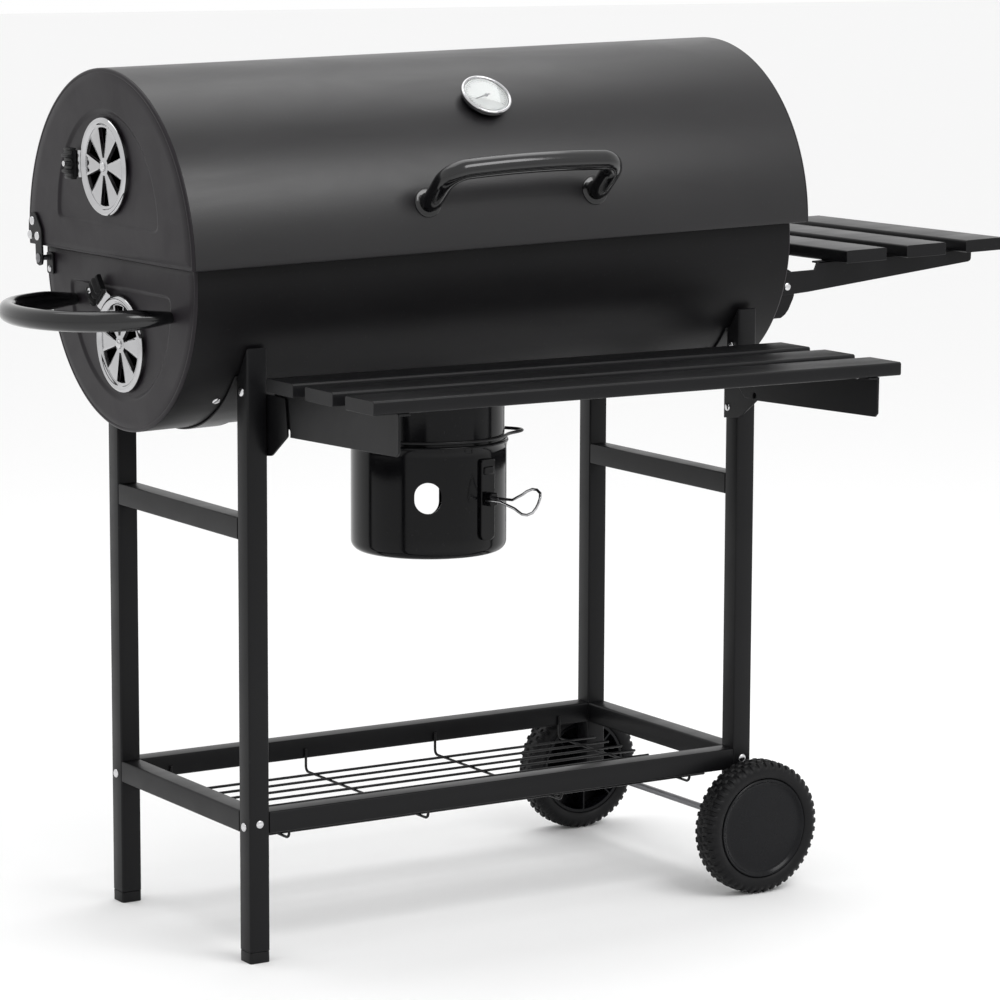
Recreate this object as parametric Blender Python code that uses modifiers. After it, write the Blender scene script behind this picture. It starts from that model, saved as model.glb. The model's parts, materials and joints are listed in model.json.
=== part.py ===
"""Barrel charcoal smoker on a wheeled cart: a hinged barrel with an ash bucket,
two folding slatted shelves, turning vent dampers and a wire storage rack.
Units are metres, +Z is up, +X runs along the barrel towards the wheels and -Y is the front."""
import bpy
import bmesh
from math import asin, cos, degrees, pi, radians, sin, sqrt
from mathutils import Matrix, Vector

# ---------------------------------------------------------------- driving dimensions
GAP = 0.0004                 # clearance between pieces that touch or fit into each other
SHEET = 0.002                # wall of the barrel's sheet steel
PLATE = 0.0025               # brackets and hinge plates

TUBE = 0.024                 # square frame tube
TUBE_WALL = 0.002
FRAME_LENGTH = 0.654         # outside to outside of the legs, along X
FRAME_DEPTH = 0.3268         # outside to outside of the legs, along Y
LEG_TOP_LEFT = 0.6623
LEG_TOP_RIGHT = 0.6706       # the wheel end carries the barrel a little higher
FOOT_HEIGHT = 0.012
LOW_RAIL_TOP = 0.1645
HIGH_RAIL_TOP = 0.4812

BARREL_Z = 0.7652            # height of the lid's axis above the ground, half way between the legs
BARREL_TILT = radians(1.47)  # the barrel rises towards the wheel end
LID_MIN_X = -0.406
LID_MAX_X = 0.376
LID_RADIUS = 0.1945
LID_EDGE_Z = -0.006          # lower edge of the lid, from its axis
LID_LIP = 0.0155             # ledge turned in along the lid's lower edges
BODY_INSET = 0.012           # the lower body is shorter than the lid at each end
BODY_RADIUS = 0.176
BODY_Z = BODY_RADIUS - LID_RADIUS
BODY_RIM_Z = -0.010          # upper edge of the lower body

HINGE_Y = 0.165
HINGE_Z = -0.0197
PIN_RADIUS = 0.003

VENT_RADIUS = 0.053
VENT_Z_LID = 0.0904
VENT_Z_BODY = -0.100
VENT_BLADES = 6
VENT_SLOT_INNER = 0.011
VENT_SLOT_OUTER = 0.038
DISC_THICKNESS = 0.003
TAB_HALF = 0.0145            # half the width of the damper's tab
GRIP_HALF = 0.017
GRIP_THICKNESS = 0.0105

WHEEL_RADIUS = 0.077
WHEEL_WIDTH = 0.038
HUB_RADIUS = 0.057
AXLE_X = 0.319
AXLE_RADIUS = 0.004

SLAT_WIDTH = 0.057
SLAT_HEIGHT = 0.0145
FRONT_SLAT_TOP = 0.6365
FRONT_SLAT_LENGTH = 0.657
FRONT_SLAT_FIRST_Y = -0.428  # front edge of the outermost slat
FRONT_SLAT_PITCH = 0.082
FRONT_PIVOT = Vector((0.0, -0.185, 0.595))
SIDE_SLAT_TOP = -0.0447      # from the lid's axis
SIDE_SLAT_LENGTH = 0.360
SIDE_SLAT_FIRST_X = 0.440
SIDE_SLAT_PITCH = 0.0865
SIDE_ARM_Y = 0.137
SIDE_PIVOT = Vector((0.385, 0.0, -0.085))

THERMOMETER_X = -0.010
THERMOMETER_ANGLE = radians(49.3)   # above the horizon, round the lid's axis

BUCKET_X = -0.007
BUCKET_RADIUS = 0.088
BUCKET_TOP = 0.528
BUCKET_BOTTOM = 0.401
COLLAR_RADIUS = 0.0855
COLLAR_BOTTOM = 0.512
COLLAR_TOP = 0.600           # before it is cut to the barrel
ASH_HOLE_RADIUS = 0.079
LATCH_TURN = radians(15.4)   # the latch faces forwards, turned a little to the right

CARRY_REACH = 0.117          # how far the carry handle stands out of the left end
CARRY_RADIUS = 0.011
CARRY_Z = -0.0607
CARRY_MIDDLE_Y = -0.003       # middle of the bow, and half its width over the two feet
CARRY_HALF_WIDTH = 0.112
WHEEL_CLEARANCE = 0.0045     # between the legs and the wheels
HUB_DOME = 0.001

# The finished assembly's box, so that its base centre becomes the origin. The carry handle and
# the side shelf lean with the barrel.
BOX_MIN_X = (LID_MIN_X + BODY_INSET - GAP - CARRY_REACH - CARRY_RADIUS) * cos(BARREL_TILT)
BOX_MIN_X -= CARRY_Z * sin(BARREL_TILT)
BOX_MAX_X = (SIDE_SLAT_FIRST_X + 2 * SIDE_SLAT_PITCH + SLAT_WIDTH) * cos(BARREL_TILT)
BOX_MAX_X -= (SIDE_SLAT_TOP - SLAT_HEIGHT) * sin(BARREL_TILT)
BOX_MIN_Y = FRONT_SLAT_FIRST_Y
BOX_MAX_Y = FRAME_DEPTH / 2 + WHEEL_CLEARANCE + WHEEL_WIDTH + HUB_DOME

BODY_MIN_X = LID_MIN_X + BODY_INSET
BODY_MAX_X = LID_MAX_X - BODY_INSET
LEG_X = FRAME_LENGTH / 2 - TUBE / 2
LEG_Y = FRAME_DEPTH / 2 - TUBE / 2


# ---------------------------------------------------------------- scene, collections, materials
def clear_scene():
    for old in list(bpy.data.objects):
        bpy.data.objects.remove(old, do_unlink=True)


def new_collection(name):
    group = bpy.data.collections.new(name)
    bpy.context.scene.collection.children.link(group)
    return group


clear_scene()
PARTS = new_collection("barrel_smoker")
CUTTERS = new_collection("cutters")


def material(name, colour, roughness, metallic):
    mat = bpy.data.materials.new(name)
    mat.use_nodes = True
    shader = mat.node_tree.nodes["Principled BSDF"]
    shader.inputs["Base Color"].default_value = (*colour, 1.0)
    shader.inputs["Roughness"].default_value = roughness
    shader.inputs["Metallic"].default_value = metallic
    return mat


POWDER = material("black_powder_coat", (0.020, 0.020, 0.023), 0.45, 0.0)
SATIN = material("satin_black_barrel", (0.030, 0.030, 0.034), 0.38, 0.0)
GLOSS = material("gloss_black_enamel", (0.010, 0.010, 0.011), 0.12, 0.0)
CHROME = material("chrome", (0.75, 0.75, 0.77), 0.12, 1.0)
STEEL = material("zinc_steel", (0.55, 0.55, 0.56), 0.35, 1.0)
PLASTIC = material("black_plastic", (0.015, 0.015, 0.016), 0.55, 0.0)
GRATE = material("chromed_wire", (0.60, 0.60, 0.62), 0.25, 1.0)


# ---------------------------------------------------------------- holders that carry the pieces
def holder(name, parent=None, location=(0, 0, 0), tilt=0.0, turn=0.0):
    empty = bpy.data.objects.new(name, None)
    PARTS.objects.link(empty)
    empty.parent = parent
    empty.location = location
    empty.rotation_euler = (0.0, tilt, turn)
    return empty


CART = holder("cart_frame", None, (-(BOX_MIN_X + BOX_MAX_X) / 2, -(BOX_MIN_Y + BOX_MAX_Y) / 2, 0.0))
BARREL = holder("barrel_axis", CART, (0.0, 0.0, BARREL_Z), tilt=-BARREL_TILT)
HINGE = Vector((0.0, HINGE_Y, HINGE_Z))
LID = holder("lid_pivot", BARREL, HINGE)
LID_VENT = Vector((LID_MIN_X, 0.0, VENT_Z_LID))
BODY_VENT = Vector((BODY_MIN_X, 0.0, VENT_Z_BODY))
LID_DAMPER = holder("lid_damper_pivot", LID, LID_VENT - HINGE)
BODY_DAMPER = holder("barrel_damper_pivot", BARREL, BODY_VENT)
FRONT_SHELF = holder("front_shelf_pivot", CART, FRONT_PIVOT)
SIDE_SHELF = holder("side_shelf_pivot", BARREL, SIDE_PIVOT)
WHEEL_Y = FRAME_DEPTH / 2 + WHEEL_CLEARANCE + WHEEL_WIDTH / 2
AXLE_CENTRE = Vector((AXLE_X, 0.0, WHEEL_RADIUS))
FRONT_WHEEL = holder("front_wheel_pivot", CART, AXLE_CENTRE + Vector((0, -WHEEL_Y, 0)))
BACK_WHEEL = holder("back_wheel_pivot", CART, AXLE_CENTRE + Vector((0, WHEEL_Y, 0)), turn=pi)
BUCKET = holder("ash_bucket_slide", CART, (BUCKET_X, 0.0, 0.0), turn=LATCH_TURN)


# ---------------------------------------------------------------- shape tools
def finish(obj, mat, parent, offset=(0, 0, 0), smooth=False):
    """Give a shape its material and hang it on its holder; offset is the holder's own place."""
    if obj.name not in PARTS.objects:
        for group in list(obj.users_collection):
            group.objects.unlink(obj)
        PARTS.objects.link(obj)
    obj.data.materials.clear()
    obj.data.materials.append(mat)
    obj.parent = parent
    obj.location = obj.location - Vector(offset)
    if smooth and obj.type == "MESH":
        obj.data.shade_smooth()
        obj.data.set_sharp_from_angle(angle=radians(35))
    return obj


def mesh_object(name, bm):
    bmesh.ops.recalc_face_normals(bm, faces=bm.faces)
    mesh = bpy.data.meshes.new(name)
    bm.to_mesh(mesh)
    bm.free()
    obj = bpy.data.objects.new(name, mesh)
    PARTS.objects.link(obj)
    return obj


def box(name, low, high):
    low, high = Vector(low), Vector(high)
    bm = bmesh.new()
    bmesh.ops.create_cube(bm, size=1.0)
    bmesh.ops.scale(bm, vec=high - low, verts=bm.verts)
    bmesh.ops.translate(bm, vec=(high + low) / 2, verts=bm.verts)
    return mesh_object(name, bm)


AXIS_TURN = {"X": Matrix.Rotation(pi / 2, 4, "Y"), "Y": Matrix.Rotation(-pi / 2, 4, "X"), "Z": Matrix.Identity(4)}


def cylinder(name, radius, low, high, axis, centre=(0, 0, 0), sides=32):
    """A rod whose axis runs from low to high along X, Y or Z through centre."""
    bm = bmesh.new()
    bmesh.ops.create_cone(bm, cap_ends=True, segments=sides, radius1=radius, radius2=radius, depth=high - low)
    bmesh.ops.translate(bm, vec=(0, 0, (low + high) / 2), verts=bm.verts)
    bmesh.ops.transform(bm, matrix=Matrix.Translation(centre) @ AXIS_TURN[axis], verts=bm.verts)
    return mesh_object(name, bm)


def prism(name, loops, low, high, axis):
    """A flat outline with optional holes, extruded from low to high along an axis.
    Loops are lists of 2D points: (x, y) for axis Z, (x, z) for axis Y and (y, z) for axis X."""
    curve = bpy.data.curves.new(name, "CURVE")
    curve.dimensions = "2D"
    curve.fill_mode = "BOTH"
    curve.extrude = (high - low) / 2
    for loop in loops:
        spline = curve.splines.new("POLY")
        spline.points.add(len(loop) - 1)
        for point, (u, v) in zip(spline.points, loop):
            point.co = (u, v, 0.0, 1.0)
        spline.use_cyclic_u = True
    source = bpy.data.objects.new(name + "_outline", curve)
    CUTTERS.objects.link(source)
    # The outline's own plane is XY; these turns send (u, v, depth) to the wanted axes.
    turn = {"X": Matrix(((0, 0, 1, 0), (1, 0, 0, 0), (0, 1, 0, 0), (0, 0, 0, 1))),
            "Y": Matrix(((1, 0, 0, 0), (0, 0, -1, 0), (0, 1, 0, 0), (0, 0, 0, 1))),
            "Z": Matrix.Identity(4)}[axis]
    middle = (low + high) / 2
    shift = {"X": (middle, 0, 0), "Y": (0, middle, 0), "Z": (0, 0, middle)}[axis]
    return curve_to_mesh(name, source, Matrix.Translation(shift) @ turn)


def curve_to_mesh(name, source, matrix=Matrix.Identity(4)):
    bpy.context.view_layer.update()
    mesh = bpy.data.meshes.new_from_object(source.evaluated_get(bpy.context.evaluated_depsgraph_get()))
    bm = bmesh.new()
    bm.from_mesh(mesh)
    bmesh.ops.remove_doubles(bm, verts=bm.verts, dist=1e-6)
    bmesh.ops.transform(bm, matrix=matrix, verts=bm.verts)
    bpy.data.objects.remove(source, do_unlink=True)
    return mesh_object(name, bm)


def tube(name, points, radius, resolution=2, cyclic=False):
    """A round bar along a list of points."""
    curve = bpy.data.curves.new(name, "CURVE")
    curve.dimensions = "3D"
    curve.bevel_depth = radius
    curve.bevel_resolution = resolution
    curve.use_fill_caps = not cyclic
    spline = curve.splines.new("POLY")
    spline.points.add(len(points) - 1)
    for knot, place in zip(spline.points, points):
        knot.co = (*place, 1.0)
    spline.use_cyclic_u = cyclic
    source = bpy.data.objects.new(name + "_path", curve)
    CUTTERS.objects.link(source)
    return curve_to_mesh(name, source)


def turned(name, profile, axis, centre=(0, 0, 0), steps=32):
    """A turned shape: (radius, height) pairs from top to bottom down the outer side, closed at the axis."""
    bm = bmesh.new()
    verts = [bm.verts.new((radius, 0.0, height)) for radius, height in profile]
    for first, second in zip(verts, verts[1:]):
        bm.edges.new((first, second))
    mesh = bpy.data.meshes.new(name)
    bm.to_mesh(mesh)
    bm.free()
    obj = bpy.data.objects.new(name, mesh)
    PARTS.objects.link(obj)
    screw = obj.modifiers.new("turn", "SCREW")
    screw.steps = steps
    screw.render_steps = steps
    screw.use_merge_vertices = True
    screw.merge_threshold = 0.00001
    obj.matrix_basis = Matrix.Translation(centre) @ AXIS_TURN[axis]
    return obj


def as_cutter(obj):
    for group in list(obj.users_collection):
        group.objects.unlink(obj)
    CUTTERS.objects.link(obj)
    obj.hide_render = True
    obj.display_type = "WIRE"
    return obj


def combine(obj, other, operation="DIFFERENCE", parent=None):
    """Cut or join another shape into obj, both given in the same holder's frame."""
    as_cutter(other)
    other.parent = parent
    modifier = obj.modifiers.new(operation.lower(), "BOOLEAN")
    modifier.operation = operation
    modifier.solver = "EXACT"
    modifier.object = other
    return obj


def bake(obj):
    """Apply an object's modifiers, so that its finished mesh can be placed or combined again."""
    bpy.context.view_layer.update()
    mesh = bpy.data.meshes.new_from_object(obj.evaluated_get(bpy.context.evaluated_depsgraph_get()))
    obj.modifiers.clear()
    obj.data = mesh
    return obj


def joined(name, shapes):
    """One solid from several overlapping shapes."""
    first = shapes[0]
    first.name = name
    for other in shapes[1:]:
        combine(first, other, "UNION")
        bake(first)
        bpy.data.objects.remove(other, do_unlink=True)
    return first


def cut_away(obj, *tools):
    for tool in tools:
        combine(obj, tool)
        bake(obj)
        bpy.data.objects.remove(tool, do_unlink=True)
    return obj


def arc(radius, start, end, count, centre=(0.0, 0.0)):
    """Points on a circle between two angles in degrees, both ends included."""
    step = (end - start) / (count - 1)
    angles = [radians(start + step * i) for i in range(count)]
    return [(centre[0] + radius * cos(a), centre[1] + radius * sin(a)) for a in angles]


def rectangle(low_u, low_v, high_u, high_v):
    return [(low_u, low_v), (high_u, low_v), (high_u, high_v), (low_u, high_v)]


def square_tube(name, low, high, centre, axis, width=TUBE, height=TUBE):
    """A hollow bar with open ends; centre is its section's middle in the two other axes."""
    (u, v), half_w, half_h = centre, width / 2, height / 2
    outer = rectangle(u - half_w, v - half_h, u + half_w, v + half_h)
    inner = rectangle(u - half_w + TUBE_WALL, v - half_h + TUBE_WALL, u + half_w - TUBE_WALL, v + half_h - TUBE_WALL)
    return prism(name, [outer, inner], low, high, axis)


# ---------------------------------------------------------------- cart frame
def barrel_cutter(radius, low=-0.5, high=0.5):
    """The lower body's cylinder in the cart's frame, tilted with the barrel."""
    rod = cylinder("barrel_space", radius, low, high, "X", (0, 0, BODY_Z), sides=96)
    matrix = Matrix.Translation((0, 0, BARREL_Z)) @ Matrix.Rotation(-BARREL_TILT, 4, "Y")
    rod.data.transform(matrix)
    return rod


def leg(name, side_x, side_y, bottom, top, axle_hole):
    x, y = side_x * LEG_X, side_y * LEG_Y
    half = TUBE / 2
    post = box(name, (x - half, y - half, bottom), (x + half, y + half, top))
    inner = half - TUBE_WALL
    hollow = box("hollow", (x - inner, y - inner, bottom - 0.01), (x + inner, y + inner, top - 0.003))
    cut_away(post, hollow, barrel_cutter(BODY_RADIUS + SHEET + 2 * GAP + 0.0006))
    if axle_hole:
        cut_away(post, cylinder("axle_hole", AXLE_RADIUS + GAP, -0.3, 0.3, "Y", AXLE_CENTRE, sides=24))
    return finish(post, POWDER, CART)


def foot(name, side_y):
    x, y = -LEG_X, side_y * LEG_Y
    half = TUBE / 2
    inner = half - TUBE_WALL - GAP
    pad = box(name, (x - half, y - half, 0.0), (x + half, y + half, FOOT_HEIGHT))
    stub = box("stub", (x - inner, y - inner, FOOT_HEIGHT - 0.002), (x + inner, y + inner, FOOT_HEIGHT + 0.014))
    return finish(joined(name, [pad, stub]), PLASTIC, CART)


def build_frame():
    left_bottom = FOOT_HEIGHT + GAP
    right_bottom = WHEEL_RADIUS - 0.020
    leg("leg_front_left", -1, -1, left_bottom, LEG_TOP_LEFT, False)
    leg("leg_back_left", -1, 1, left_bottom, LEG_TOP_LEFT, False)
    leg("leg_front_right", 1, -1, right_bottom, LEG_TOP_RIGHT, True)
    leg("leg_back_right", 1, 1, right_bottom, LEG_TOP_RIGHT, True)
    foot("foot_front", -1)
    foot("foot_back", 1)
    half_x = LEG_X - TUBE / 2 - GAP
    half_y = LEG_Y - TUBE / 2 - GAP
    low = LOW_RAIL_TOP - TUBE / 2
    high = HIGH_RAIL_TOP - TUBE / 2
    finish(square_tube("base_rail_front", -half_x, half_x, (-LEG_Y, low), "X"), POWDER, CART)
    finish(square_tube("base_rail_back", -half_x, half_x, (LEG_Y, low), "X"), POWDER, CART)
    for side, sign in (("left", -1), ("right", 1)):
        finish(square_tube("base_rail_" + side, -half_y, half_y, (sign * LEG_X, low), "Y"), POWDER, CART)
        finish(square_tube("crossbar_" + side, -half_y, half_y, (sign * LEG_X, high), "Y"), POWDER, CART)


def build_rack():
    """Long wires lie on four cross wires, whose ends turn up against the front and back rails."""
    wire = 0.0016
    floor_z = 0.126
    reach = LEG_Y - TUBE / 2 - wire - GAP
    hook_top = 0.152
    long_half = LEG_X - TUBE / 2 - 0.010
    shapes = []
    for i in range(4):
        x = -0.265 + 0.175 * i
        path = [(x, -reach, hook_top), (x, -reach, floor_z + 0.004), (x, -reach + 0.004, floor_z),
                (x, reach - 0.004, floor_z), (x, reach, floor_z + 0.004), (x, reach, hook_top)]
        shapes.append(tube("cross_wire", path, wire, resolution=1))
    for i in range(9):
        y = -0.120 + 0.0285 * i
        z = floor_z + 2 * wire - 0.0006
        shapes.append(tube("long_wire", [(-long_half, y, z), (long_half, y, z)], wire, resolution=1))
    finish(joined("storage_rack", shapes), GLOSS, CART)


def build_wheels():
    half_rod = WHEEL_Y + WHEEL_WIDTH / 2 - 0.010
    rod = cylinder("axle", AXLE_RADIUS, -half_rod, half_rod, "Y", AXLE_CENTRE, sides=24)
    finish(rod, STEEL, CART, smooth=True)
    half = WHEEL_WIDTH / 2
    bore = AXLE_RADIUS + GAP
    tyre = [(HUB_RADIUS + GAP, half - 0.004), (0.066, half), (0.072, half - 0.003), (WHEEL_RADIUS, half - 0.011),
            (WHEEL_RADIUS, -half + 0.011), (0.072, -half + 0.003), (0.066, -half), (HUB_RADIUS + GAP, -half + 0.004),
            (HUB_RADIUS + GAP, half - 0.004)]
    hub = [(0.0, half + HUB_DOME), (0.025, half + 0.0005), (0.045, half - 0.002), (HUB_RADIUS, half - 0.005),
           (HUB_RADIUS, -half + 0.004), (0.053, -half + 0.004), (0.053, half - 0.010), (0.014, half - 0.010),
           (0.012, -half), (bore, -half), (bore, half - 0.0095), (0.0, half - 0.0095)]
    # Both wheels are turned with their outer face along the profile's +Z, which then points away from the cart.
    for side, pivot in (("front", FRONT_WHEEL), ("back", BACK_WHEEL)):
        for piece, profile, mat in (("tyre", tyre, PLASTIC), ("hub", hub, PLASTIC)):
            shape = turned("wheel_%s_%s" % (piece, side), profile, "Z", steps=36)
            shape.matrix_basis = Matrix.Rotation(pi / 2, 4, "X")
            finish(shape, mat, pivot, smooth=True)


# ---------------------------------------------------------------- barrel
def wedge_slots(turn_deg=0.0):
    """Outlines of the vent's six wedge openings around its centre, as (y, z) loops."""
    half_outer, half_inner = 13.0, 9.0
    loops = []
    for i in range(VENT_BLADES):
        middle = 90.0 + turn_deg + 360.0 / VENT_BLADES * i
        outside = arc(VENT_SLOT_OUTER, middle - half_outer, middle + half_outer, 5)
        inside = arc(VENT_SLOT_INNER, middle + half_inner, middle - half_inner, 2)
        loops.append(outside + inside)
    return loops


def moved(loop, du, dv):
    return [(u + du, v + dv) for u, v in loop]


def body_outline(radius, rim=BODY_RIM_Z, count=41):
    """The lower body's section: a circle cut off level at the rim, as (y, z) points."""
    start = degrees(asin((rim - BODY_Z) / radius))
    return arc(radius, start, -180.0 - start, count, (0.0, BODY_Z))


def lid_outline(radius, edge=LID_EDGE_Z, count=41):
    start = degrees(asin(edge / radius))
    return arc(radius, start, 180.0 - start, count)


def build_body():
    shell_loop = body_outline(BODY_RADIUS) + list(reversed(body_outline(BODY_RADIUS - SHEET)))
    shell = prism("barrel_shell", [shell_loop], BODY_MIN_X + SHEET + GAP, BODY_MAX_X - SHEET - GAP, "X")
    opening_x = BUCKET_X - LID_RADIUS * sin(BARREL_TILT)
    cut_away(shell, cylinder("ash_opening", ASH_HOLE_RADIUS, -0.5, 0.0, "Z", (opening_x, 0, 0), sides=40))
    finish(shell, SATIN, BARREL, smooth=True)
    slots = [moved(loop, 0.0, VENT_Z_BODY) for loop in wedge_slots()]
    left = prism("barrel_end_left", [body_outline(BODY_RADIUS)] + slots, BODY_MIN_X, BODY_MIN_X + SHEET, "X")
    finish(left, SATIN, BARREL)
    right = prism("barrel_end_right", [body_outline(BODY_RADIUS)], BODY_MAX_X - SHEET, BODY_MAX_X, "X")
    finish(right, SATIN, BARREL)


def build_cradle():
    """Curved straps under the barrel, between it and the legs' hollowed tops."""
    inner = BODY_RADIUS + GAP
    outer = inner + SHEET
    for side, sign in (("left", -1), ("right", 1)):
        loop = arc(outer, -37, -143, 25, (0, BODY_Z)) + arc(inner, -143, -37, 25, (0, BODY_Z))
        strap = prism("cradle_strap_" + side, [loop], sign * LEG_X - 0.018, sign * LEG_X + 0.018, "X")
        finish(strap, POWDER, BARREL, smooth=True)


def build_carry_handle():
    """A half-oval tube whose flattened ends are bolted to the left end."""
    start = BODY_MIN_X - GAP
    straight = 0.010
    path = [(start, CARRY_MIDDLE_Y - CARRY_HALF_WIDTH, CARRY_Z)]
    for i in range(25):
        angle = radians(-90.0 + 180.0 * i / 24)
        bow = max(cos(angle), 0.0) ** 0.75
        out = start - straight - (CARRY_REACH - straight) * bow
        path.append((out, CARRY_MIDDLE_Y + CARRY_HALF_WIDTH * sin(angle), CARRY_Z))
    path.append((start, CARRY_MIDDLE_Y + CARRY_HALF_WIDTH, CARRY_Z))
    finish(tube("carry_handle", path, CARRY_RADIUS), GLOSS, BARREL, smooth=True)


def slotted_plate(name, half_x, half_y, centre_x, z_low, z_high, slots, rows=1, border=0.010, bar=0.005):
    """A flat grate: a rectangle with rows of slots running along Y."""
    loops = [rectangle(centre_x - half_x, -half_y, centre_x + half_x, half_y)]
    pitch = (2 * half_x - 2 * border + bar) / slots
    depth = (2 * half_y - 2 * border + bar) / rows
    for i in range(slots):
        low_x = centre_x - half_x + border + i * pitch
        for j in range(rows):
            low_y = -half_y + border + j * depth
            loops.append(rectangle(low_x, low_y, low_x + pitch - bar, low_y + depth - bar))
    return prism(name, loops, z_low, z_high, "Z")


def build_grates():
    centre_x = (BODY_MIN_X + BODY_MAX_X) / 2
    half_x = (BODY_MAX_X - BODY_MIN_X) / 2 - SHEET - 0.004
    inner = BODY_RADIUS - SHEET
    coal_z = -0.128
    coal_half = sqrt(inner ** 2 - (coal_z - BODY_Z) ** 2) - 0.001
    coal = slotted_plate("charcoal_grate", half_x, coal_half, centre_x, coal_z, coal_z + 0.003, 16, rows=2)
    finish(coal, STEEL, BARREL)
    ledge_z = -0.036
    ledge_half = sqrt(inner ** 2 - (ledge_z - BODY_Z) ** 2) - 0.0008
    for side, sign in (("front", -1), ("back", 1)):
        edges = sorted((sign * ledge_half, sign * (ledge_half - 0.013)))
        low, high = (centre_x - half_x, edges[0], ledge_z), (centre_x + half_x, edges[1], ledge_z + 0.002)
        finish(box("grate_ledge_" + side, low, high), STEEL, BARREL)
    grate_z = ledge_z + 0.002 + GAP
    cooking = slotted_plate("cooking_grate", half_x - 0.002, ledge_half - 0.003, centre_x, grate_z, grate_z + 0.004, 24,
                            rows=1, border=0.008, bar=0.005)
    finish(cooking, GRATE, BARREL)


def build_ash_bucket():
    ring = [arc(COLLAR_RADIUS, 0, 345, 24, (BUCKET_X, 0)), arc(COLLAR_RADIUS - SHEET, 0, 345, 24, (BUCKET_X, 0))]
    collar = prism("ash_collar", ring, COLLAR_BOTTOM, COLLAR_TOP, "Z")
    cut_away(collar, barrel_cutter(BODY_RADIUS + GAP, -0.2, 0.2))
    finish(collar, GLOSS, CART, smooth=True)

    # The bottom is pressed up inside its rounded edge, as on a seamed pail.
    inner = BUCKET_RADIUS - SHEET
    floor_z = BUCKET_BOTTOM + 0.010
    profile = [(inner, BUCKET_TOP), (BUCKET_RADIUS + 0.002, BUCKET_TOP), (BUCKET_RADIUS + 0.002, BUCKET_TOP - 0.004),
               (BUCKET_RADIUS, BUCKET_TOP - 0.005), (BUCKET_RADIUS, floor_z),
               (BUCKET_RADIUS - 0.003, BUCKET_BOTTOM + 0.004), (BUCKET_RADIUS - 0.011, BUCKET_BOTTOM),
               (BUCKET_RADIUS - 0.014, BUCKET_BOTTOM), (BUCKET_RADIUS - 0.018, floor_z - SHEET),
               (0.0, floor_z - SHEET), (0.0, floor_z), (inner, floor_z), (inner, BUCKET_TOP)]
    pail = bake(turned("ash_bucket", profile, "Z", steps=36))
    pail.matrix_basis = Matrix.Identity(4)
    # An air hole faces the front left and a taller one is in the wall behind it.
    for turn, low, high, width in ((47.0, 0.4535, 0.4885, 0.030), (223.0, 0.424, 0.476, 0.034)):
        radius = width / 2
        loop = arc(radius, 0, 180, 9, (0, high - radius)) + arc(radius, 180, 360, 9, (0, low + radius))
        hole = prism("air_hole", [loop], 0.070, 0.110, "X")
        hole.data.transform(Matrix.Rotation(radians(-90.0 - turn), 4, "Z"))
        cut_away(pail, hole)
    bracket = box("bracket", (-0.011, -BUCKET_RADIUS - 0.004, 0.420), (0.011, -BUCKET_RADIUS + 0.001, 0.512))
    ear = box("ear", (-0.006, -BUCKET_RADIUS - 0.013, 0.460), (0.006, -BUCKET_RADIUS - 0.003, 0.474))
    pail = joined("ash_bucket", [pail, bracket, ear])
    finish(pail, GLOSS, BUCKET, smooth=True)

    # The latch is a wire loop that turns on pins at both sides of the bracket's ear.
    latch = holder("bucket_latch_pivot", BUCKET, (0.0, -BUCKET_RADIUS - 0.009, 0.467))
    wire = 0.0016
    half = 0.0100
    one_side = [(0.0065, 0, 0), (half, 0, 0), (half, -0.006, 0), (half, -0.040, 0.002), (0.016, -0.055, 0.003),
                (0.009, -0.068, 0.003)]
    path = [(-x, y, z) for x, y, z in one_side] + list(reversed(one_side))
    finish(tube("bucket_latch", path, wire, resolution=1), CHROME, latch, smooth=True)


# ---------------------------------------------------------------- lid
def build_lid():
    inner = LID_RADIUS - SHEET
    ledge_y = LID_RADIUS - LID_LIP - SHEET
    lip_top = LID_EDGE_Z + SHEET
    outer = lid_outline(LID_RADIUS)
    inside = lid_outline(inner, lip_top)
    loop = outer + [(-ledge_y, LID_EDGE_Z), (-ledge_y, lip_top)] + list(reversed(inside)) + [(ledge_y, lip_top),
                                                                                           (ledge_y, LID_EDGE_Z)]
    shell = prism("lid_shell", [loop], LID_MIN_X + SHEET + GAP, LID_MAX_X - SHEET - GAP, "X")
    stem_hole = cylinder("stem_hole", 0.0036, LID_RADIUS - 0.02, LID_RADIUS + 0.02, "Z", sides=16)
    stem_hole.data.transform(thermometer_matrix())
    cut_away(shell, stem_hole)
    finish(shell, SATIN, LID, HINGE, smooth=True)
    slots = [moved(loop, 0.0, VENT_Z_LID) for loop in wedge_slots()]
    left = prism("lid_end_left", [lid_outline(LID_RADIUS)] + slots, LID_MIN_X, LID_MIN_X + SHEET, "X")
    finish(left, SATIN, LID, HINGE)
    right = prism("lid_end_right", [lid_outline(LID_RADIUS)], LID_MAX_X - SHEET, LID_MAX_X, "X")
    finish(right, SATIN, LID, HINGE)


def thermometer_matrix():
    """Turns +Z to the lid's outward direction at the thermometer, through the lid's axis."""
    lean = pi / 2 - THERMOMETER_ANGLE
    return Matrix.Translation((THERMOMETER_X, 0, 0)) @ Matrix.Rotation(lean, 4, "X")


def build_thermometer():
    base = LID_RADIUS + GAP
    profile = [(0.0, base + 0.011), (0.027, base + 0.011), (0.029, base + 0.008), (0.029, base + 0.002),
               (0.025, base), (0.003, base), (0.003, base - 0.045), (0.0, base - 0.047)]
    case = bake(turned("thermometer", profile, "Z", steps=32))
    case.matrix_basis = Matrix.Identity(4)
    case.data.transform(thermometer_matrix())
    finish(case, CHROME, LID, HINGE, smooth=True)


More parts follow.
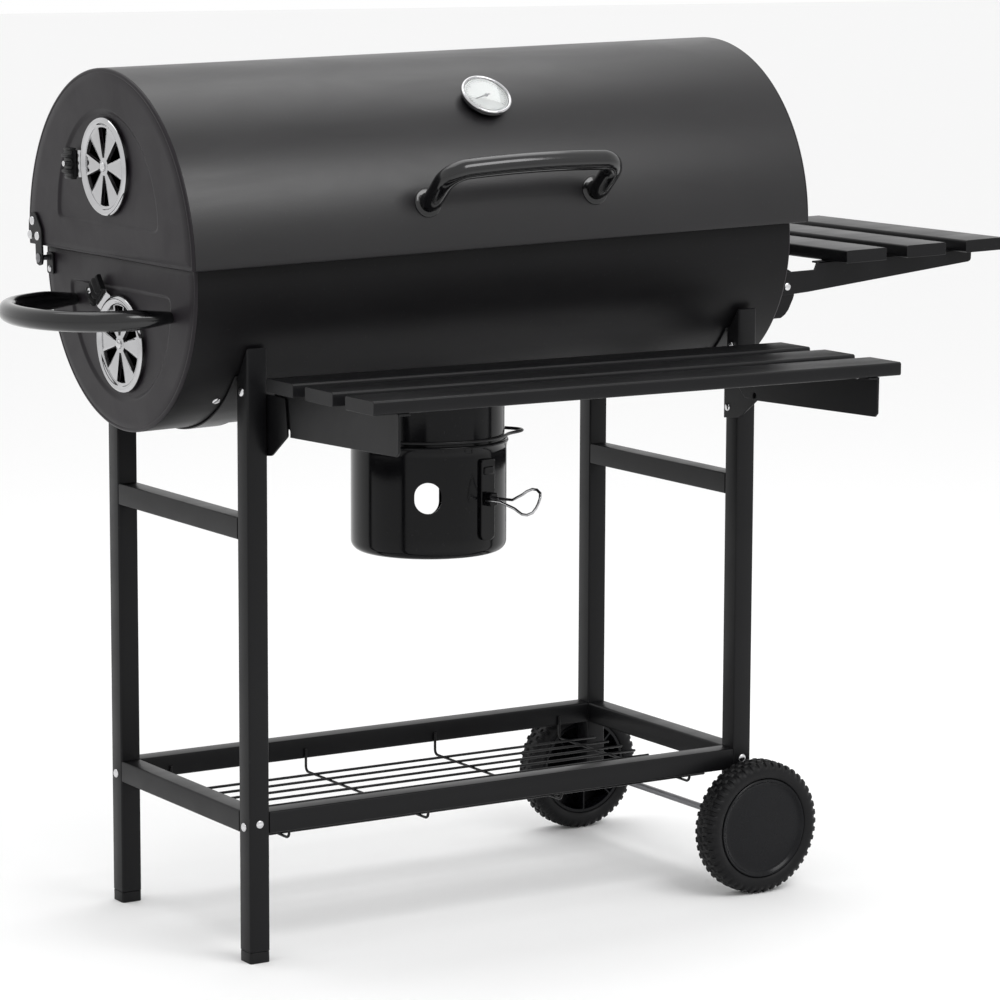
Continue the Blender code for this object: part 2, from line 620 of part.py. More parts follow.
def build_lid_handle():
    """Both feet leave the lid square to it, then the grip leans up and bows a little."""
    middle_x = (LID_MIN_X + LID_MAX_X) / 2
    half = 0.106
    foot_angle = radians(14.0)
    lean = radians(42.0)
    out = Vector((0, -cos(foot_angle), sin(foot_angle)))
    up = Vector((0, -cos(lean), sin(lean)))
    foot_start = out * (LID_RADIUS + 0.0008)
    elbow = out * (LID_RADIUS + 0.010)

    def place(across, along_out, along_up):
        spot = foot_start if along_out == 0 else elbow + up * along_up
        return (middle_x + across, spot.y, spot.z)

    rise = 0.052
    bend = 0.024
    right = [place(half, 0, 0), place(half, 1, 0.0)]
    for i in range(7):
        angle = radians(90.0 * i / 6)
        right.append(place(half - bend + bend * cos(angle), 1, rise - bend + bend * sin(angle)))
    right += [place(0.055, 1, rise + 0.002), place(0.028, 1, rise + 0.003)]
    left = [(2 * middle_x - x, y, z) for x, y, z in reversed(right)]
    path = right + [place(0.0, 1, rise + 0.0035)] + left
    finish(tube("lid_handle", path, 0.011), GLOSS, LID, HINGE, smooth=True)


def build_hinges():
    """A plate on each lid end turns on a pin that a plate on the barrel's end carries."""
    for side, sign, lid_face, body_face in (("left", -1, LID_MIN_X, BODY_MIN_X), ("right", 1, LID_MAX_X, BODY_MAX_X)):
        upper = [(HINGE_Y - 0.008, HINGE_Z - 0.002), (HINGE_Y - 0.006, HINGE_Z - 0.007), (HINGE_Y + 0.006, HINGE_Z - 0.007),
                 (HINGE_Y + 0.008, HINGE_Z - 0.002), (HINGE_Y + 0.008, 0.000), (HINGE_Y + 0.022, 0.004),
                 (HINGE_Y + 0.0235, 0.020), (HINGE_Y + 0.014, 0.030), (HINGE_Y + 0.003, 0.027), (HINGE_Y - 0.008, 0.012)]
        hole = arc(PIN_RADIUS + GAP, 0, 345, 24, (HINGE_Y, HINGE_Z))
        near, far = sorted((lid_face + sign * GAP, lid_face + sign * (GAP + PLATE)))
        finish(prism("hinge_plate_lid_" + side, [upper, hole], near, far, "X"), STEEL, LID, HINGE)
        lower = rectangle(HINGE_Y - 0.010, HINGE_Z - 0.018, HINGE_Y + 0.0055, HINGE_Z + 0.006)
        near, far = sorted((body_face + sign * GAP, body_face + sign * (GAP + PLATE)))
        finish(prism("hinge_plate_barrel_" + side, [lower, hole], near, far, "X"), STEEL, BARREL)
        reach = abs(lid_face) + GAP + PLATE
        ends = sorted((sign * (abs(body_face) + 2 * GAP), sign * (reach + GAP + 0.0001)))
        pin = cylinder("hinge_pin_" + side, PIN_RADIUS, *ends, "X", HINGE, sides=20)
        head_ends = sorted((sign * (reach + GAP), sign * (reach + GAP + 0.002)))
        head = cylinder("head", 0.0052, *head_ends, "X", HINGE, sides=20)
        finish(joined("hinge_pin_" + side, [pin, head]), STEEL, BARREL, smooth=True)


def build_damper(name, pivot, grip_angle):
    """A chromed disc that turns on the end plate; its tab carries a plastic grip."""
    plate_low = -GAP - DISC_THICKNESS
    disc_loops = [arc(VENT_RADIUS, 0, 350, 36)] + wedge_slots()
    disc = prism(name, disc_loops, plate_low, -GAP, "X")
    direction = radians(grip_angle)
    tab = box("tab", (plate_low, VENT_RADIUS - 0.006, -TAB_HALF), (-GAP, VENT_RADIUS + 0.024, TAB_HALF))
    tab.data.transform(Matrix.Rotation(direction, 4, "X"))
    finish(joined(name, [disc, tab]), CHROME, pivot)
    grip_low, grip_high = plate_low - GRIP_THICKNESS, plate_low - GAP
    inner, outer = VENT_RADIUS + 0.007, VENT_RADIUS + 0.026
    grip = box(name + "_grip", (grip_low, inner, -GRIP_HALF), (grip_high, outer, GRIP_HALF))
    grip.data.transform(Matrix.Rotation(direction, 4, "X"))
    finish(grip, PLASTIC, pivot)


# ---------------------------------------------------------------- shelves
def angle_arm(name, web_loop, web_low, web_high, flange_low, flange_high):
    """An arm cut from plate with a flange folded out along its upper edge."""
    axis = "X" if abs(flange_high[0] - flange_low[0]) < abs(flange_high[1] - flange_low[1]) else "Y"
    web = prism(name, [web_loop], web_low, web_high, axis)
    return joined(name, [web, box("flange", flange_low, flange_high)])


def build_front_shelf():
    slat_low = FRONT_SLAT_TOP - SLAT_HEIGHT
    for i, label in enumerate(("front", "middle", "back")):
        y = FRONT_SLAT_FIRST_Y + SLAT_WIDTH / 2 + i * FRONT_SLAT_PITCH
        half = FRONT_SLAT_LENGTH / 2
        slat = square_tube("front_slat_" + label, -half, half, (y, FRONT_SLAT_TOP - SLAT_HEIGHT / 2), "X",
                           SLAT_WIDTH, SLAT_HEIGHT)
        finish(slat, POWDER, FRONT_SHELF, FRONT_PIVOT)
    inner_face = LEG_X - TUBE / 2
    arm_top = slat_low - GAP
    pivot_y, pivot_z = FRONT_PIVOT.y, FRONT_PIVOT.z
    tip_y = -0.4272
    for side, sign in (("left", -1), ("right", 1)):
        gusset = [(-0.1400, 0.5451), (-0.1400, 0.6130), (-0.1990, 0.6130), (-0.2047, 0.5735), (-0.1706, 0.5488)]
        near, far = sorted((sign * (inner_face - GAP), sign * (inner_face - GAP - PLATE)))
        hole = arc(PIN_RADIUS + GAP, 0, 345, 24, (pivot_y, pivot_z))
        finish(prism("shelf_gusset_" + side, [gusset, hole], near, far, "X"), POWDER, CART)
        outside = inner_face - 2 * GAP - PLATE
        web = [(-0.1725, arm_top), (-0.1725, 0.583), (-0.184, 0.573), (-0.199, 0.573), (-0.199, 0.579), (-0.206, 0.579),
               (-0.206, 0.572), (tip_y + 0.004, 0.5785), (tip_y, 0.5825), (tip_y, arm_top)]
        near, far = sorted((sign * outside, sign * (outside - PLATE)))
        flange_x = sorted((sign * outside, sign * (outside - 0.014)))
        arm = angle_arm("front_arm_" + side, web, near, far,
                        (flange_x[0], tip_y, arm_top - 0.0022), (flange_x[1], -0.200, arm_top))
        # The pivot pin is riveted in the arm and turns in the gusset's hole.
        pin_ends = sorted((sign * (outside - 0.001), sign * (inner_face - GAP)))
        pin = cylinder("pin", PIN_RADIUS, *pin_ends, "X", (0, pivot_y, pivot_z), sides=20)
        finish(joined("front_arm_" + side, [arm, pin]), POWDER, FRONT_SHELF, FRONT_PIVOT)


def build_side_shelf():
    slat_low = SIDE_SLAT_TOP - SLAT_HEIGHT
    for i, label in enumerate(("inner", "middle", "outer")):
        x = SIDE_SLAT_FIRST_X + SLAT_WIDTH / 2 + i * SIDE_SLAT_PITCH
        half = SIDE_SLAT_LENGTH / 2
        slat = square_tube("side_slat_" + label, -half, half, (x, SIDE_SLAT_TOP - SLAT_HEIGHT / 2), "Y",
                           SLAT_WIDTH, SLAT_HEIGHT)
        finish(slat, POWDER, SIDE_SHELF, SIDE_PIVOT)
    arm_top = slat_low - GAP
    pivot_x, pivot_z = SIDE_PIVOT.x, SIDE_PIVOT.z
    tip_x = SIDE_SLAT_FIRST_X + 2 * SIDE_SLAT_PITCH + 0.040
    for side, sign in (("front", -1), ("back", 1)):
        y = sign * SIDE_ARM_Y
        web = [(0.372, -0.0900), (0.376, -0.0950), (0.4145, -0.0934), (tip_x - 0.003, -0.0752), (tip_x, -0.0715),
               (tip_x, arm_top), (0.428, arm_top), (0.424, -0.0685), (0.376, -0.0685), (0.372, -0.0730)]
        near, far = sorted((y, y + sign * PLATE))
        flange_y = sorted((y + sign * PLATE, y - sign * 0.011))
        arm = angle_arm("side_arm_" + side, web, near, far,
                        (0.430, flange_y[0], arm_top - 0.0022), (tip_x, flange_y[1], arm_top))
        pin_ends = sorted((y + sign * 0.001, y - sign * (GAP + PLATE)))
        pin = cylinder("pin", PIN_RADIUS, *pin_ends, "Y", (pivot_x, 0, pivot_z), sides=20)
        finish(joined("side_arm_" + side, [arm, pin]), POWDER, SIDE_SHELF, SIDE_PIVOT)
        ear_near, ear_far = sorted((y - sign * GAP, y - sign * (GAP + PLATE)))
        ear_loop = [(0.3648, -0.121), (0.378, -0.121), (0.389, -0.112), (0.397, -0.096), (0.397, -0.074), (0.389, -0.066),
                    (0.3648, -0.066)]
        hole = arc(PIN_RADIUS + GAP, 0, 345, 24, (pivot_x, pivot_z))
        ear = prism("ear", [ear_loop, hole], ear_near, ear_far, "Y")
        foot_y = sorted((y - sign * GAP, y - sign * 0.024))
        base = box("base", (BODY_MAX_X + GAP, foot_y[0], -0.116), (BODY_MAX_X + GAP + PLATE, foot_y[1], -0.068))
        finish(joined("shelf_mount_" + side, [ear, base]), POWDER, BARREL)


build_frame()
build_rack()
build_wheels()
build_body()
build_cradle()
build_carry_handle()
build_grates()
build_ash_bucket()
build_lid()
build_thermometer()
build_lid_handle()
build_hinges()
build_damper("lid_damper", LID_DAMPER, 0.0)
build_damper("barrel_damper", BODY_DAMPER, 52.0)
build_front_shelf()
build_side_shelf()
bpy.context.view_layer.update()
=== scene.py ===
"""Looks of a barrel charcoal smoker on a wheeled cart.

Cart pieces are laid out in metres from the middle of the four legs on the ground. Barrel pieces are
laid out from the lid's axis half way between the legs, in a frame that rises towards the wheels.
New surfaces are numpy grids: a section carried along a line, a profile turned round an axis, or rings
drawn round a centre.
"""
import json
from math import atan2, cos, pi, radians, sin, sqrt

import bmesh
import bpy
import numpy as np
from mathutils import Matrix, Vector


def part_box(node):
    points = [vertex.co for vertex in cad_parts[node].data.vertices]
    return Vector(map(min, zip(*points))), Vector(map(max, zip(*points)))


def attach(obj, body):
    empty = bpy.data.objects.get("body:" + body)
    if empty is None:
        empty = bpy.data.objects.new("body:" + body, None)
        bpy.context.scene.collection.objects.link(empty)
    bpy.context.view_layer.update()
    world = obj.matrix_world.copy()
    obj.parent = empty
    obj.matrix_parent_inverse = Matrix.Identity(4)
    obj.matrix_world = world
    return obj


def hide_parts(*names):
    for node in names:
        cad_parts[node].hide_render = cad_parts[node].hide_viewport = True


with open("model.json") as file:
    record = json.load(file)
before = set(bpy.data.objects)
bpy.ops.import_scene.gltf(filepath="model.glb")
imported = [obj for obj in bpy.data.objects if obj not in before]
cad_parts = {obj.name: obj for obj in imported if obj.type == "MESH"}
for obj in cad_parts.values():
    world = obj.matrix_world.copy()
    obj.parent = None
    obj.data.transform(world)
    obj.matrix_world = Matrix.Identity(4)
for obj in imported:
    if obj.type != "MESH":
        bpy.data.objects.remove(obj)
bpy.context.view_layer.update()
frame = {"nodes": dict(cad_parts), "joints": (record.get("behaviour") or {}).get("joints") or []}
JOINTS = {joint["name"]: joint for joint in frame["joints"]}

# ------------------------------------------------------------------ dimensions shared with the CAD
SHEET = 0.002
TUBE = 0.024
FRAME_LENGTH = 0.654
FRAME_DEPTH = 0.3268
LEG_X = (FRAME_LENGTH - TUBE) / 2
LEG_Y = (FRAME_DEPTH - TUBE) / 2
LOW_RAIL = 0.1525            # middle height of the lower rails
HIGH_RAIL = 0.4692

LID_MIN_X, LID_MAX_X = -0.406, 0.376
LID_RADIUS = 0.1945
BODY_MIN_X, BODY_MAX_X = -0.394, 0.364
BODY_RADIUS = 0.176
BODY_Z = -0.0185
LID_EDGE_Z = -0.006
BODY_RIM_Z = -0.005          # the body's rim stands a little way up inside the lid
HINGE_Y, HINGE_Z = 0.165, -0.0197
VENT_Z_LID, VENT_Z_BODY = 0.0904, -0.100
VENT_RADIUS = 0.053
SLOT_INNER, SLOT_OUTER = 0.0095, 0.0420
SLOT_HALF = radians(14.0)
BUCKET_X = -0.007
BUCKET_RADIUS = 0.088
LATCH_TURN = radians(15.4)


# ------------------------------------------------------------------ the two frames
class Layout:
    """Turns points of a layout into the model's own frame: turned by the matrix, then shifted."""

    def __init__(self, turn, origin):
        self.turn = np.array(turn, float)
        self.origin = np.array(origin, float)

    def __call__(self, points):
        return np.asarray(points, float) @ self.turn.T + self.origin


def layouts():
    """The barrel's frame comes from the lid damper's joint: its axis is the barrel's, and its place is
    the vent's centre on the lid's left end. The cart's frame is level and stands below it."""
    joint = JOINTS["lid_damper_turn"]
    tilt = atan2(joint["axis"][2], joint["axis"][0])
    turn = [[cos(tilt), 0, -sin(tilt)], [0, 1, 0], [sin(tilt), 0, cos(tilt)]]
    origin = np.array(joint["pos_m"]) - np.array(turn) @ np.array([LID_MIN_X, 0, VENT_Z_LID])
    return Layout(np.eye(3), (origin[0], origin[1], 0.0)), Layout(turn, origin), tilt


CART, BARREL, TILT = layouts()
BARREL_Z = BARREL.origin[2]


# ------------------------------------------------------------------ camera, floor and light
def aim(obj, place, target):
    obj.location = place
    obj.rotation_mode = "QUATERNION"
    obj.rotation_quaternion = (Vector(target) - Vector(place)).to_track_quat("-Z", "Y")


def add_camera():
    """The eye stands at the front left, a little above the lid's axis."""
    azimuth, elevation, roll = radians(32.14), radians(8.81), radians(0.22)
    ahead = Vector((sin(azimuth) * cos(elevation), cos(azimuth) * cos(elevation), -sin(elevation)))
    right = Vector((cos(azimuth), -sin(azimuth), 0.0))
    up = right.cross(ahead)
    right, up = right * cos(roll) + up * sin(roll), up * cos(roll) - right * sin(roll)
    data = bpy.data.cameras.new("camera")
    data.lens = 3.9181 * data.sensor_width
    camera = bpy.data.objects.new("camera", data)
    bpy.context.scene.collection.objects.link(camera)
    camera.rotation_mode = "QUATERNION"
    camera.rotation_quaternion = Matrix((right, up, -ahead)).transposed().to_quaternion()
    camera.location = Vector(CART((-2.2643, -3.7443, 1.1337)))
    data.clip_start, data.clip_end = 0.1, 60.0
    bpy.context.scene.camera = camera


def add_light(name, place, target, size, power):
    data = bpy.data.lights.new(name, "AREA")
    data.shape = "RECTANGLE"
    data.size, data.size_y = size
    data.energy = power
    light = bpy.data.objects.new(name, data)
    bpy.context.scene.collection.objects.link(light)
    aim(light, place, target)


def add_studio():
    """A pale floor under a bright even sky, a wide box above, and one in front to the right."""
    world = bpy.data.worlds.new("studio")
    world.use_nodes = True
    background = world.node_tree.nodes["Background"]
    background.inputs["Color"].default_value = (1.0, 1.0, 1.0, 1.0)
    background.inputs["Strength"].default_value = 1.0
    bpy.context.scene.world = world
    bpy.context.scene.view_settings.view_transform = "Standard"
    add_light("top_box", (0.0, 0.6, 2.6), (0, 0, 0.8), (2.4, 1.4), 16)
    add_light("front_box", (0.35, -1.7, 2.2), (0, 0, 0.75), (1.5, 0.9), 26)
    reach = 30.0
    ground = ([[-reach, -reach, 0], [reach, -reach, 0], [reach, reach, 0], [-reach, reach, 0]], [[0, 1, 2, 3]])
    mesh = bpy.data.meshes.new("studio_floor")
    mesh.from_pydata(ground[0], [], ground[1])
    floor = bpy.data.objects.new("studio_floor", mesh)
    bpy.context.scene.collection.objects.link(floor)
    paint = bpy.data.materials.new("studio_floor_paint")
    paint.use_nodes = True
    shader = paint.node_tree.nodes["Principled BSDF"]
    shader.inputs["Base Color"].default_value = (0.93, 0.93, 0.93, 1.0)
    shader.inputs["Roughness"].default_value = 0.9
    shader.inputs["Specular IOR Level"].default_value = 0.1
    mesh.materials.append(paint)


# ------------------------------------------------------------------ materials
class Finish:
    """A Principled material whose colour, roughness and bump come from noise on Object coordinates."""

    def __init__(self, name, metallic=0.0, specular=0.5, coat=0.0, coat_roughness=0.1, transmission=0.0):
        self.material = bpy.data.materials.new(name)
        self.material.use_nodes = True
        self.nodes = self.material.node_tree.nodes
        self.links = self.material.node_tree.links
        self.shader = self.nodes["Principled BSDF"]
        self.shader.inputs["Metallic"].default_value = metallic
        self.shader.inputs["Specular IOR Level"].default_value = specular
        self.shader.inputs["Coat Weight"].default_value = coat
        self.shader.inputs["Coat Roughness"].default_value = coat_roughness
        self.shader.inputs["Transmission Weight"].default_value = transmission
        self.coordinates = self.nodes.new("ShaderNodeTexCoord")
        self.height = None

    def join(self, source, target):
        self.links.new(source, target)

    def stretched(self, scale):
        mapping = self.nodes.new("ShaderNodeMapping")
        mapping.inputs["Scale"].default_value = scale
        self.join(self.coordinates.outputs["Object"], mapping.inputs["Vector"])
        return mapping.outputs["Vector"]

    def noise(self, scale, detail=4.0, rough=0.55, stretch=(1, 1, 1), distortion=0.0):
        texture = self.nodes.new("ShaderNodeTexNoise")
        texture.inputs["Scale"].default_value = scale
        texture.inputs["Detail"].default_value = detail
        texture.inputs["Roughness"].default_value = rough
        texture.inputs["Distortion"].default_value = distortion
        self.join(self.stretched(stretch), texture.inputs["Vector"])
        return texture.outputs["Fac"]

    def cells(self, scale):
        texture = self.nodes.new("ShaderNodeTexVoronoi")
        texture.inputs["Scale"].default_value = scale
        self.join(self.stretched((1, 1, 1)), texture.inputs["Vector"])
        return texture.outputs["Distance"]

    def spread(self, value, low, high, to_low, to_high):
        """Values from low to high run to to_low and to_high."""
        node = self.nodes.new("ShaderNodeMapRange")
        for socket, number in zip(("From Min", "From Max", "To Min", "To Max"), (low, high, to_low, to_high)):
            node.inputs[socket].default_value = number
        self.join(value, node.inputs["Value"])
        return node.outputs["Result"]

    def blend(self, share, first, second):
        """Colour from first to second as share goes from 0 to 1; each is a colour or a socket."""
        node = self.nodes.new("ShaderNodeMix")
        node.data_type = "RGBA"
        self.join(share, node.inputs["Factor"])
        for socket, colour in zip((node.inputs[6], node.inputs[7]), (first, second)):
            if isinstance(colour, tuple):
                socket.default_value = (*colour, 1.0)
            else:
                self.join(colour, socket)
        return node.outputs[2]

    def times(self, first, second):
        node = self.nodes.new("ShaderNodeMath")
        node.operation = "MULTIPLY"
        for socket, value in zip(node.inputs, (first, second)):
            if isinstance(value, float):
                socket.default_value = value
            else:
                self.join(value, socket)
        return node.outputs[0]

    def edges(self, reach=0.0012):
        """Share of rubbed finish along edges: how far a rounded-off normal leans from the true one, broken
        up by noise."""
        geometry = self.nodes.new("ShaderNodeNewGeometry")
        rounded = self.nodes.new("ShaderNodeBevel")
        rounded.samples = 4
        rounded.inputs["Radius"].default_value = reach
        lean = self.nodes.new("ShaderNodeVectorMath")
        lean.operation = "DOT_PRODUCT"
        self.join(rounded.outputs["Normal"], lean.inputs[0])
        self.join(geometry.outputs["Normal"], lean.inputs[1])
        worn = self.spread(lean.outputs["Value"], 0.97, 0.80, 0.0, 1.0)
        patchy = self.spread(self.noise(60.0, 5.0, 0.7), 0.42, 0.62, 0.0, 1.0)
        return self.times(worn, patchy)

    def colour(self, socket):
        self.join(socket, self.shader.inputs["Base Color"])

    def roughness(self, socket):
        self.join(socket, self.shader.inputs["Roughness"])

    def bump(self, socket, strength, distance):
        node = self.nodes.new("ShaderNodeBump")
        node.inputs["Strength"].default_value = strength
        node.inputs["Distance"].default_value = distance
        self.join(socket, node.inputs["Height"])
        if self.height is not None:
            self.join(self.height, node.inputs["Normal"])
        self.height = node.outputs["Normal"]
        self.join(self.height, self.shader.inputs["Normal"])


def sprayed_paint(name, dark, light, rough, grain, grain_bump, specular, coat=0.0, wear=0.25, sag=0.0):
    """Black paint over steel: cloudy tone, orange-peel grain, dust specks, faint rubs and worn edges."""
    finish = Finish(name, specular=specular, coat=coat, coat_roughness=0.08)
    cloud = finish.spread(finish.noise(7.0, 5.0), 0.3, 0.7, 0.0, 1.0)
    base = finish.blend(cloud, dark, light)
    dust = finish.spread(finish.noise(340.0, 2.0, 0.6), 0.66, 0.80, 0.0, 0.35)
    base = finish.blend(dust, base, (0.035, 0.035, 0.037))
    base = finish.blend(finish.times(finish.edges(), wear), base, (0.12, 0.12, 0.125))
    finish.colour(base)
    smear = finish.noise(16.0, 6.0, 0.65, (0.35, 1.0, 1.0), 0.6)
    finish.roughness(finish.spread(smear, 0.25, 0.75, rough[0], rough[1]))
    if sag:
        finish.bump(finish.noise(5.0, 2.0, 0.4), 0.35, sag)
    finish.bump(finish.noise(grain, 3.0, 0.6), 0.35, grain_bump)
    return finish.material


def polished_metal(name, tone, rough, brushed=(1, 1, 1), stain=(0.30, 0.29, 0.28), spots=0.18, ripple=0.00012):
    """Plated metal: fine scratches along one way, dull spots, and slow ripples in the sheet."""
    finish = Finish(name, metallic=1.0)
    dull = finish.spread(finish.noise(38.0, 6.0, 0.7), 0.50, 0.75, 0.0, spots)
    finish.colour(finish.blend(dull, tone, stain))
    scratch = finish.noise(210.0, 4.0, 0.6, brushed)
    finish.roughness(finish.spread(scratch, 0.3, 0.75, rough[0], rough[1]))
    finish.bump(finish.noise(30.0, 2.0, 0.5), 0.5, ripple)
    finish.bump(scratch, 0.15, 0.00003)
    return finish.material


def moulded_plastic(name, dark, light, rough, grain=900.0, grain_bump=0.00006, scuff=0.3):
    """Satin moulded plastic: fine spark-eroded grain, scuffs and a dusty bloom."""
    finish = Finish(name, specular=0.18)
    bloom = finish.spread(finish.noise(26.0, 6.0, 0.65), 0.35, 0.75, 0.0, 1.0)
    base = finish.blend(bloom, dark, light)
    base = finish.blend(finish.times(finish.edges(), scuff), base, (0.06, 0.06, 0.06))
    finish.colour(base)
    finish.roughness(finish.spread(finish.noise(45.0, 5.0), 0.3, 0.7, rough[0], rough[1]))
    finish.bump(finish.cells(grain), 0.4, grain_bump)
    return finish.material


def heat_glass(name):
    finish = Finish(name, specular=0.5, transmission=1.0)
    finish.colour(finish.blend(finish.noise(40.0), (0.97, 0.98, 0.98), (0.92, 0.94, 0.94)))
    finish.roughness(finish.spread(finish.noise(70.0, 5.0), 0.3, 0.8, 0.0, 0.06))
    finish.bump(finish.noise(24.0, 2.0), 0.2, 0.00005)
    return finish.material


def dial_enamel(name, tone, second):
    finish = Finish(name, specular=0.5)
    finish.colour(finish.blend(finish.noise(120.0, 4.0), tone, second))
    finish.roughness(finish.spread(finish.noise(90.0), 0.3, 0.7, 0.30, 0.42))
    finish.bump(finish.noise(700.0), 0.2, 0.00002)
    return finish.material


LID_PAINT = sprayed_paint("lid_paint", (0.0034, 0.0030, 0.0038), (0.0052, 0.0047, 0.0057), (0.30, 0.42), 620.0, 0.00016,
                          0.44, wear=0.12, sag=0.0010)
# Painted shade: the lower sheet's paint is a darker, less glossy copy of the lid's paint, so the lower barrel, which
# faces down towards the floor, reads dark.
SHADED_BODY_PAINT = sprayed_paint("barrel_paint_painted_shade", (0.0028, 0.0026, 0.0031), (0.0042, 0.0040, 0.0046), (0.36, 0.50), 620.0,
                           0.00016, 0.16, wear=0.12, sag=0.0010)
CAP_PAINT = sprayed_paint("end_cap_paint", (0.0066, 0.0047, 0.0068), (0.0092, 0.0070, 0.0096), (0.34, 0.48), 620.0,
                          0.00016, 0.24, wear=0.15, sag=0.0006)
FRAME_PAINT = sprayed_paint("frame_powder_coat", (0.0030, 0.0030, 0.0035), (0.0048, 0.0048, 0.0055), (0.30, 0.44), 900.0,
                            0.00014, 0.19, wear=0.12)
GLOSS_PAINT = sprayed_paint("gloss_enamel", (0.0016, 0.0016, 0.0020), (0.0028, 0.0028, 0.0034), (0.09, 0.18), 300.0,
                            0.00005, 0.16, coat=0.03, wear=0.10)
HANDLE_PAINT = sprayed_paint("handle_enamel", (0.0016, 0.0016, 0.0020), (0.0028, 0.0028, 0.0034), (0.10, 0.20), 300.0,
                             0.00005, 0.42, coat=0.25, wear=0.10)
WIRE_PAINT = sprayed_paint("wire_paint", (0.0030, 0.0030, 0.0035), (0.0050, 0.0050, 0.0055), (0.25, 0.40), 800.0, 0.00008,
                           0.25, wear=0.2)
VENT_CHROME = polished_metal("vent_chrome", (0.50, 0.50, 0.51), (0.05, 0.14), spots=0.25)
BOLT_CHROME = polished_metal("bolt_chrome", (0.62, 0.62, 0.63), (0.12, 0.26), spots=0.30)
PLATED_STEEL = polished_metal("zinc_plated_steel", (0.20, 0.20, 0.21), (0.28, 0.46), (1, 0.2, 1), (0.14, 0.13, 0.12), 0.5)
GRATE_CHROME = polished_metal("grate_wire", (0.62, 0.62, 0.63), (0.18, 0.34), (1, 0.2, 1), (0.16, 0.14, 0.13), 0.5)
GREY_STEEL = polished_metal("charcoal_grate_steel", (0.22, 0.22, 0.23), (0.42, 0.62), (1, 0.2, 1), (0.09, 0.08, 0.07), 0.7)
BLACK_PLASTIC = moulded_plastic("black_plastic", (0.0045, 0.0045, 0.0050), (0.0085, 0.0085, 0.0090), (0.34, 0.50))
WHEEL_PLASTIC = moulded_plastic("wheel_plastic", (0.0022, 0.0024, 0.0034), (0.0036, 0.0038, 0.0050), (0.20, 0.34))
TREAD_PLASTIC = moulded_plastic("tread_plastic", (0.0036, 0.0036, 0.0042), (0.0064, 0.0064, 0.0070), (0.40, 0.58), 700.0,
                                0.0001, 0.35)
GLASS = heat_glass("thermometer_glass")
DIAL_WHITE = dial_enamel("dial_white", (0.82, 0.82, 0.81), (0.76, 0.76, 0.75))
DIAL_INK = dial_enamel("dial_ink", (0.10, 0.10, 0.11), (0.14, 0.14, 0.15))


# ------------------------------------------------------------------ shapes as (points, blocks of faces)
def weave(points, wrap_rows=False, wrap_columns=False, keep=None):
    """Quads of a grid: cell (i, j) joins points (i, j), (i+1, j), (i+1, j+1) and (i, j+1). A wrapped side
    joins its last line to its first. keep marks the cells that stay."""
    rows, columns = points.shape[:2]
    index = np.arange(rows * columns).reshape(rows, columns)
    if wrap_rows:
        index = np.vstack([index, index[:1]])
    if wrap_columns:
        index = np.hstack([index, index[:, :1]])
    cells = np.stack([index[:-1, :-1], index[1:, :-1], index[1:, 1:], index[:-1, 1:]], -1)
    cells = cells.reshape(-1, 4) if keep is None else cells[keep]
    return points.reshape(-1, 3), [cells]


def together(*shapes):
    """Several shapes as one: the points in a row, with each shape's faces counted on."""
    points, blocks, start = [], [], 0
    for places, cells in shapes:
        points.append(places)
        blocks += [block + start for block in cells]
        start += len(places)
    return np.vstack(points), blocks


def moved(shape, shift):
    return shape[0] + np.asarray(shift, float), shape[1]


def turned_about(shape, axis, angle, centre=(0, 0, 0)):
    turn = np.array(Matrix.Rotation(angle, 3, axis))
    centre = np.asarray(centre, float)
    return (shape[0] - centre) @ turn.T + centre, shape[1]


def rounded_rectangle(width, height, radius, steps=4):
    """Section points, anticlockwise: each corner's centre plus radius times (cos, sin) of a quarter turn."""
    radius = max(radius, 1e-5)
    angles = np.arange(4)[:, None] * pi / 2 + np.linspace(0, pi / 2, steps)
    across = np.array([1, -1, -1, 1])[:, None] * (width / 2 - radius)
    along = np.array([1, 1, -1, -1])[:, None] * (height / 2 - radius)
    return np.stack([across + radius * np.cos(angles), along + radius * np.sin(angles)], -1).reshape(-1, 2)


ORDER = {"X": [2, 0, 1], "Y": [0, 2, 1], "Z": [0, 1, 2]}


def square_bar(low, high, centre, axis, width=TUBE, height=TUBE, radius=0.0022):
    """A rounded rectangle carried along X, Y or Z from low to high. Each end is a flat face with a small
    chamfer. Each ring of the grid is the section drawn in by an inset, at its own height."""
    chamfer = 0.0004
    rows = [(low, chamfer, 0.0), (low, chamfer, 1.0), (low + chamfer, 0.0, 1.0),
            (high - chamfer, 0.0, 1.0), (high, chamfer, 1.0), (high, chamfer, 0.0)]
    grid = []
    for height_at, inset, scale in rows:
        section = rounded_rectangle(width - 2 * inset, height - 2 * inset, radius - inset * 0.8) * scale + centre
        grid.append(np.column_stack([section, np.full(len(section), height_at)]))
    grid = np.array(grid)[..., ORDER[axis]]
    return weave(grid, wrap_columns=True)


def sweep(path, normal, radius, sides=14, flat=None):
    """A round or oval bar: circles square to the path. One half-axis lies along normal cross tangent and
    has length radius; the other lies along normal and has length flat. Ends close on their middle."""
    path = np.asarray(path, float)
    tangent = np.gradient(path, axis=0)
    tangent /= np.linalg.norm(tangent, axis=1)[:, None]
    normal = np.asarray(normal, float) / np.linalg.norm(normal)
    side = np.cross(normal, tangent)
    side /= np.linalg.norm(side, axis=1)[:, None]
    lift = np.cross(tangent, side)
    wide = np.broadcast_to(radius, len(path)).astype(float)
    thick = wide if flat is None else np.broadcast_to(flat, len(path)).astype(float)
    angle = np.linspace(0, 2 * pi, sides, endpoint=False)
    grid = (path[:, None] + side[:, None] * (wide[:, None] * np.cos(angle))[..., None]
            + lift[:, None] * (thick[:, None] * np.sin(angle))[..., None])
    first, last = np.repeat(path[:1], sides, 0)[None], np.repeat(path[-1:], sides, 0)[None]
    return weave(np.concatenate([first, grid, last]), wrap_columns=True)


